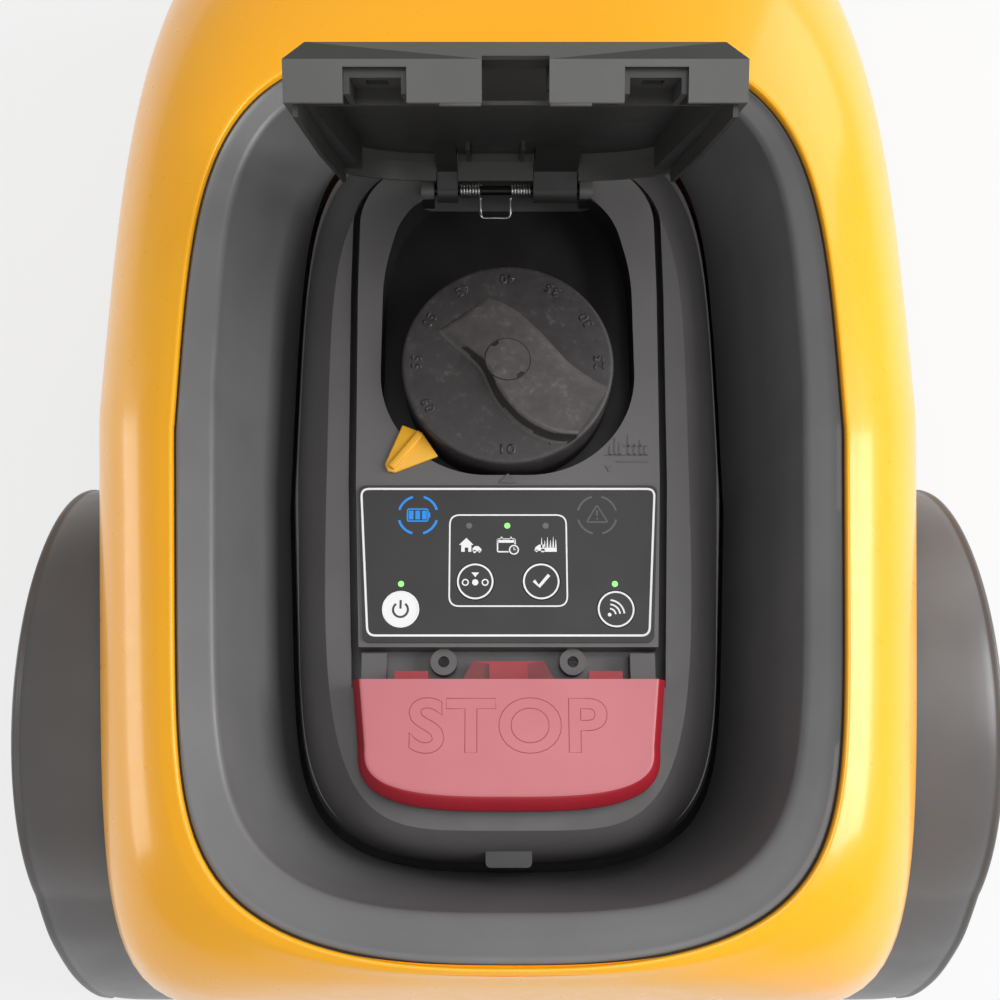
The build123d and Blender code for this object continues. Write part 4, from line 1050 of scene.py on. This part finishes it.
def circle(cx, cy, r, steps=40):
    return arc_points(cx, cy, r, 0, 360 - 360 / steps, steps - 1)


def rounded(points, radius, steps=6):
    """Rounded corners on a convex outline."""
    line = []
    count = len(points)
    for i in range(count):
        p, a, b = Vector(points[i]), Vector(points[i - 1]), Vector(points[(i + 1) % count])
        u, v = (a - p).normalized(), (b - p).normalized()
        start, end = p + u * radius, p + v * radius
        for s in range(steps + 1):
            t = s / steps
            q = start * (1 - t) ** 2 + p * 2 * t * (1 - t) + end * t * t
            line.append((q.x, q.y))
    return line


def shifted(points, cx, cy, k=1.0):
    return [(cx + x * k, cy + y * k) for x, y in points]


def white(points, cx, cy):
    """White filled shape, drawn about a symbol's middle."""
    return solid(shifted(points, cx, cy), INK_WHITE)


def battery_symbol(cx, cy):
    parts = [stroke(arc_points(cx, cy, 7.8, a, a + 58, 12), 0.95, INK_BLUE) for a in (16, 106, 196, 286)]
    case = rounded(shifted(rect(-4.2, -2.5, 4.0, 2.5), cx, cy), 0.8)
    parts.append(stroke(case, 0.55, INK_BLUE, closed=True))
    for x in (-2.75, -0.1, 2.55):
        parts.append(solid(shifted(rect(x - 0.95, -1.8, x + 0.95, 1.8), cx, cy), INK_BLUE))
    parts.append(solid(shifted(rect(4.3, -1.1, 4.9, 1.1), cx, cy), INK_BLUE))
    return parts


def warning_symbol(cx, cy):
    parts = [stroke(arc_points(cx, cy, 7.8, a, a + 62, 12), 0.8, INK_DIM) for a in (14, 104, 194, 284)]
    triangle = rounded(shifted([(-4.2, -2.9), (4.2, -2.9), (0, 4.1)], cx, cy), 0.7)
    parts.append(stroke(triangle, 0.6, INK_DIM, closed=True))
    parts.append(solid(shifted([(-0.3, -0.4), (0.3, -0.4), (0.42, 2.0), (-0.42, 2.0)], cx, cy), INK_DIM))
    parts.append(solid(circle(cx, cy - 1.5, 0.42, 12), INK_DIM))
    return parts


def home_symbol(cx, cy):
    house = [(-4.3, 0.2), (-1.4, 3.1), (1.5, 0.2), (0.6, 0.2), (0.6, -2.6), (-0.6, -2.6), (-0.6, -0.9),
             (-2.0, -0.9), (-2.0, -2.6), (-3.4, -2.6), (-3.4, 0.2)]
    mower = [(1.1, -2.4), (1.1, -1.2), (2.0, -0.3), (3.4, -0.3), (4.6, -1.5), (4.6, -2.4)]
    return [white(house, cx, cy), white(mower, cx, cy),
            solid(circle(cx + 1.9, cy - 2.5, 0.65, 12), INK_WHITE),
            solid(circle(cx + 3.8, cy - 2.5, 0.45, 12), INK_WHITE)]


def calendar_symbol(cx, cy):
    frame_line = rounded(shifted(rect(-3.8, -2.6, 3.2, 2.6), cx, cy), 0.6)
    parts = [stroke(frame_line, 0.55, INK_WHITE, closed=True)]
    parts.append(white(rect(-3.8, 1.1, 3.2, 2.6), cx, cy))
    for x in (-2.2, 1.6):
        parts.append(white(rect(x - 0.35, 2.2, x + 0.35, 3.5), cx, cy))
    parts.append(solid(circle(cx + 2.7, cy - 1.8, 2.25, 24), INK_DARK, raise_by=0.03 * MM))
    z = FILM_Z + 0.05 * MM
    hands = [(cx + 2.7, cy - 0.8), (cx + 2.7, cy - 1.8), (cx + 3.5, cy - 1.8)]
    parts.append(stroke(circle(cx + 2.7, cy - 1.8, 1.75, 24), 0.5, INK_WHITE, z, closed=True))
    parts.append(stroke(hands, 0.35, INK_WHITE, z))
    return parts


def grass_symbol(cx, cy):
    mower = [(-4.5, -2.2), (-4.0, -0.7), (-2.6, 0.3), (-0.6, 0.3), (-0.2, -2.2)]
    parts = [white(mower, cx, cy), solid(circle(cx - 3.6, cy - 2.2, 0.5, 12), INK_WHITE),
             solid(circle(cx - 1.2, cy - 2.1, 0.75, 12), INK_WHITE)]
    parts.append(white(rect(-0.4, -2.6, 4.4, -0.9), cx, cy))
    for x, h in ((-1.6, 3.2), (-0.4, 2.0), (0.7, 3.4), (1.9, 2.2), (3.0, 3.5), (4.0, 2.4)):
        parts.append(white([(x - 0.35, -1.0), (x + 0.35, -1.0), (x + 0.12, h), (x, h)], cx, cy))
    return parts


def keypad_print():
    """Frame lines and symbols printed on the film."""
    border = rounded([(-59.0, -87.1), (59.0, -87.1), (54.9, -146.6), (-54.9, -146.6)], 3.2)
    inner = rounded([(-23.2, -98.0), (23.2, -98.0), (23.2, -135.0), (-23.2, -135.0)], 4.0)
    parts = [stroke(border, 0.85, INK_WHITE, closed=True), stroke(inner, 0.6, INK_WHITE, closed=True)]
    parts += battery_symbol(-36, -98) + warning_symbol(35.6, -98)
    parts += home_symbol(-15.2, -110.5) + calendar_symbol(-0.4, -110.5) + grass_symbol(14.9, -110.5)
    obj = joined("keypad_print", parts)
    finish_piece(obj, "chassis", INK_WHITE, smooth=False)


def key_prints():
    """Symbols on the four keys, each riding on its own key."""
    z = high("key_select").z
    centres = {}
    for name in ("power", "select", "confirm", "wireless"):
        a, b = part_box(f"key_{name}")
        centres[name] = ((a.x + b.x) / 2 / MM, (a.y + b.y) / 2 / MM)
    rings = {}
    for name, (x, y) in centres.items():
        rings[name] = [stroke(circle(x, y, 6.85), 0.7, INK_WHITE, z, closed=True)]
    x, y = centres["select"]
    rings["select"] += [solid(shifted([(-1.5, 3.6), (1.5, 3.6), (0, 1.7)], x, y), INK_WHITE, z),
                        solid(circle(x, y - 0.4, 1.25, 20), INK_WHITE, z)]
    for dx in (-3.9, 3.9):
        rings["select"].append(stroke(circle(x + dx, y - 0.4, 1.15, 20), 0.5, INK_WHITE, z, closed=True))
    x, y = centres["confirm"]
    tick = [(x - 2.9, y + 0.3), (x - 0.8, y - 2.0), (x + 3.1, y + 2.6)]
    rings["confirm"].append(stroke(tick, 1.3, INK_WHITE, z))
    x, y = centres["power"]
    rings["power"] += [stroke(arc_points(x, y - 0.2, 2.9, 128, 412, 30), 0.85, INK_DARK, z),
                       stroke([(x, y + 3.6), (x, y + 0.2)], 0.85, INK_DARK, z)]
    x, y = centres["wireless"]
    rings["wireless"].append(solid(circle(x - 2.6, y - 2.2, 0.75, 16), INK_WHITE, z))
    for r in (2.4, 4.1, 5.8):
        rings["wireless"].append(stroke(arc_points(x - 2.6, y - 2.2, r, 5, 85, 14), 0.65, INK_WHITE, z))
    for name, parts in rings.items():
        obj = joined(f"key_{name}_print", parts)
        finish_piece(obj, f"key_{name}", INK_WHITE, smooth=False)


def panel_relief():
    """Raised grass-height symbol and index mark beside the knob pocket."""
    z = 224.0 * MM
    parts = []
    grey = MATERIALS["console_grey"]
    for x, h in ((41.5, 4.0), (43.6, 7.5), (45.4, 5.2), (49.0, 8.6), (51.4, 5.0), (53.8, 6.6), (55.6, 3.6)):
        blade = [(x - 0.5, -72.5), (x + 0.5, -72.5), (x + 0.2, -72.5 + h), (x - 0.1, -72.5 + h)]
        parts.append(solid(blade, grey, z, 0.25 * MM))
    for y, x0, x1 in ((-72.8, 39.5, 57.0), (-75.6, 44.0, 57.0), (-69.0, 47.0, 57.0)):
        parts.append(solid(rect(x0, y, x1, y + 0.7), grey, z, 0.25 * MM))
    parts.append(solid([(39.4, -77.0), (42.4, -77.0), (40.9, -79.8)], grey, z, 0.25 * MM))
    parts.append(solid([(-3.5, -84.4), (3.5, -84.4), (0, -80.4)], grey, z - 0.2 * MM, 0.7 * MM))
    obj = joined("panel_relief", parts)
    finish_piece(obj, "chassis", grey, smooth=False)


# ---- CAD pieces that stay --------------------------------------------------------------------------
# Region of the knob pocket whose low faces are painted with shade.
POCKET_Y = (-98 * MM, 46 * MM)
POCKET_HALF = 56 * MM


def in_knob_pocket(c, below):
    return POCKET_Y[0] < c.y < POCKET_Y[1] and abs(c.x) < POCKET_HALF and c.z < below


def dress_nodes():
    slots = {s["node"]: s["material_slot"] for s in frame["record"]["subparts"]}
    # The lid's inner part gets a darker grey than the lid's shell: painted shade for the underside of the
    # open lid.
    own = {"console_screws": BLACK_OXIDE, "hinge_pin": BLACK_OXIDE, "rear_tab": TAB_GREY,
           "lid_inner": LID_PAINTED_SHADE}
    for node, obj in NODES.items():
        obj.data.materials.clear()
        obj.data.materials.append(own.get(node, MATERIALS[slots[node]]))
        obj.data.shade_smooth()
        obj.data.set_sharp_from_angle(angle=math.radians(30))
    # Faces low in the knob pocket of the console get near-black: painted shade from the lid above them.
    for node, below in (("console_base", 0.2155), ("console_panel", 0.2225)):
        shade_part(node, POCKET_PAINTED_SHADE, lambda c: in_knob_pocket(c, below))
    shade_part("stop_latch", MATERIALS["stop_red"], lambda c: abs(c.x) < 0.0062 or abs(c.x) > 0.0275)
    # Faces in the two pockets at the lid's end get the darker lid grey: painted shade in the recesses.
    shut = Matrix.Translation(HINGE) @ Matrix.Rotation(LID_OPEN, 4, "X") @ Matrix.Translation(-HINGE)

    def in_pocket(c):
        p = shut @ c
        return 0.0285 < abs(p.x) < 0.0466 and -0.1633 < p.y < -0.157 and 0.2235 < p.z < 0.2387
    shade_part("lid_shell", LID_PAINTED_SHADE, in_pocket)


def shade_part(node, material, inside):
    """Second material on the faces of a CAD piece whose middle passes a test."""
    obj = NODES[node]
    obj.data.materials.append(material)
    for face in obj.data.polygons:
        if inside(face.center):
            face.material_index = len(obj.data.materials) - 1


def dim_lamps():
    """Only three of the lamps are lit."""
    obj = NODES["indicator_lenses"]
    obj.data.materials.append(LAMP_DIM)
    for face in obj.data.polygons:
        if abs(face.center.y + 0.1024) < 0.003 and abs(face.center.x) > 0.01:
            face.material_index = 1


def stage():
    floor = mesh_object("floor", [(-6, -6, 0), (6, -6, 0), (6, 6, 0), (-6, 6, 0)], [(0, 1, 2, 3)])
    mat, tree, shader = new_material("floor_pale", (0.16, 0.16, 0.16), 0.9, Emission_Strength=0.74,
                                     Emission_Color=(1, 1, 1, 1))
    shade = ramp(tree, noise(tree, 3, 3), [(0.3, (0.157, 0.157, 0.157)), (0.7, (0.163, 0.163, 0.163))])
    tree.links.new(shade, shader.inputs["Base Color"])
    floor.data.materials.append(mat)


def area_light(name, place, target, size, power, colour=(1, 1, 1), size_y=None):
    data = bpy.data.lights.new(name, "AREA")
    data.energy = power
    data.color = colour
    data.shape = "RECTANGLE"
    data.size = size
    data.size_y = size_y or size
    obj = bpy.data.objects.new(name, data)
    obj.location = place
    obj.rotation_euler = (Vector(target) - Vector(place)).to_track_quat("-Z", "Y").to_euler()
    bpy.context.scene.collection.objects.link(obj)


def lights():
    world = bpy.data.worlds.new("studio")
    bpy.context.scene.world = world
    world.use_nodes = True
    world.node_tree.nodes["Background"].inputs["Color"].default_value = (1.0, 1.0, 1.0, 1)
    world.node_tree.nodes["Background"].inputs["Strength"].default_value = 0.34
    area_light("key", (1.45, -0.1, 1.15), (0, -0.12, 0.2), 1.0, 27)
    area_light("left_low", (-1.5, -0.1, 0.3), (-0.2, -0.1, 0.15), 1.0, 4.5, size_y=0.35)
    area_light("rear", (0.1, -1.5, 1.7), (0, -0.1, 0.2), 1.2, 5)
    area_light("front_right", (1.3, 1.5, 1.2), (0.1, 0, 0.2), 1.0, 10, size_y=1.6)
    area_light("overhead", (0.15, -0.1, 2.0), (0, -0.1, 0.2), 0.8, 7)


def camera():
    data = bpy.data.cameras.new("camera")
    data.sensor_width = 36
    data.lens = 45
    data.shift_x = 0.007
    data.clip_start = 0.01
    obj = bpy.data.objects.new("camera", data)
    obj.location = (-0.006, -0.230, 0.707)
    obj.rotation_euler = (math.radians(16), 0, 0)
    bpy.context.scene.collection.objects.link(obj)
    bpy.context.scene.camera = obj


bpy.context.scene.view_settings.view_transform = "Standard"
camera()
dress_nodes()
dim_lamps()
outer_cover()
trough_liner()
for side in (1, -1):
    skin = fender(side)
    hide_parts("fender_right" if side > 0 else "fender_left")
stop_flap()
height_knob()
height_pointer()
lid_end_details()
lid_spring()
stop_springs()
keypad_print()
key_prints()
panel_relief()
for node in ("console_base", "console_panel", "lid_shell", "lid_inner", "stop_latch", "rear_tab"):
    soften(node)
stage()
lights()
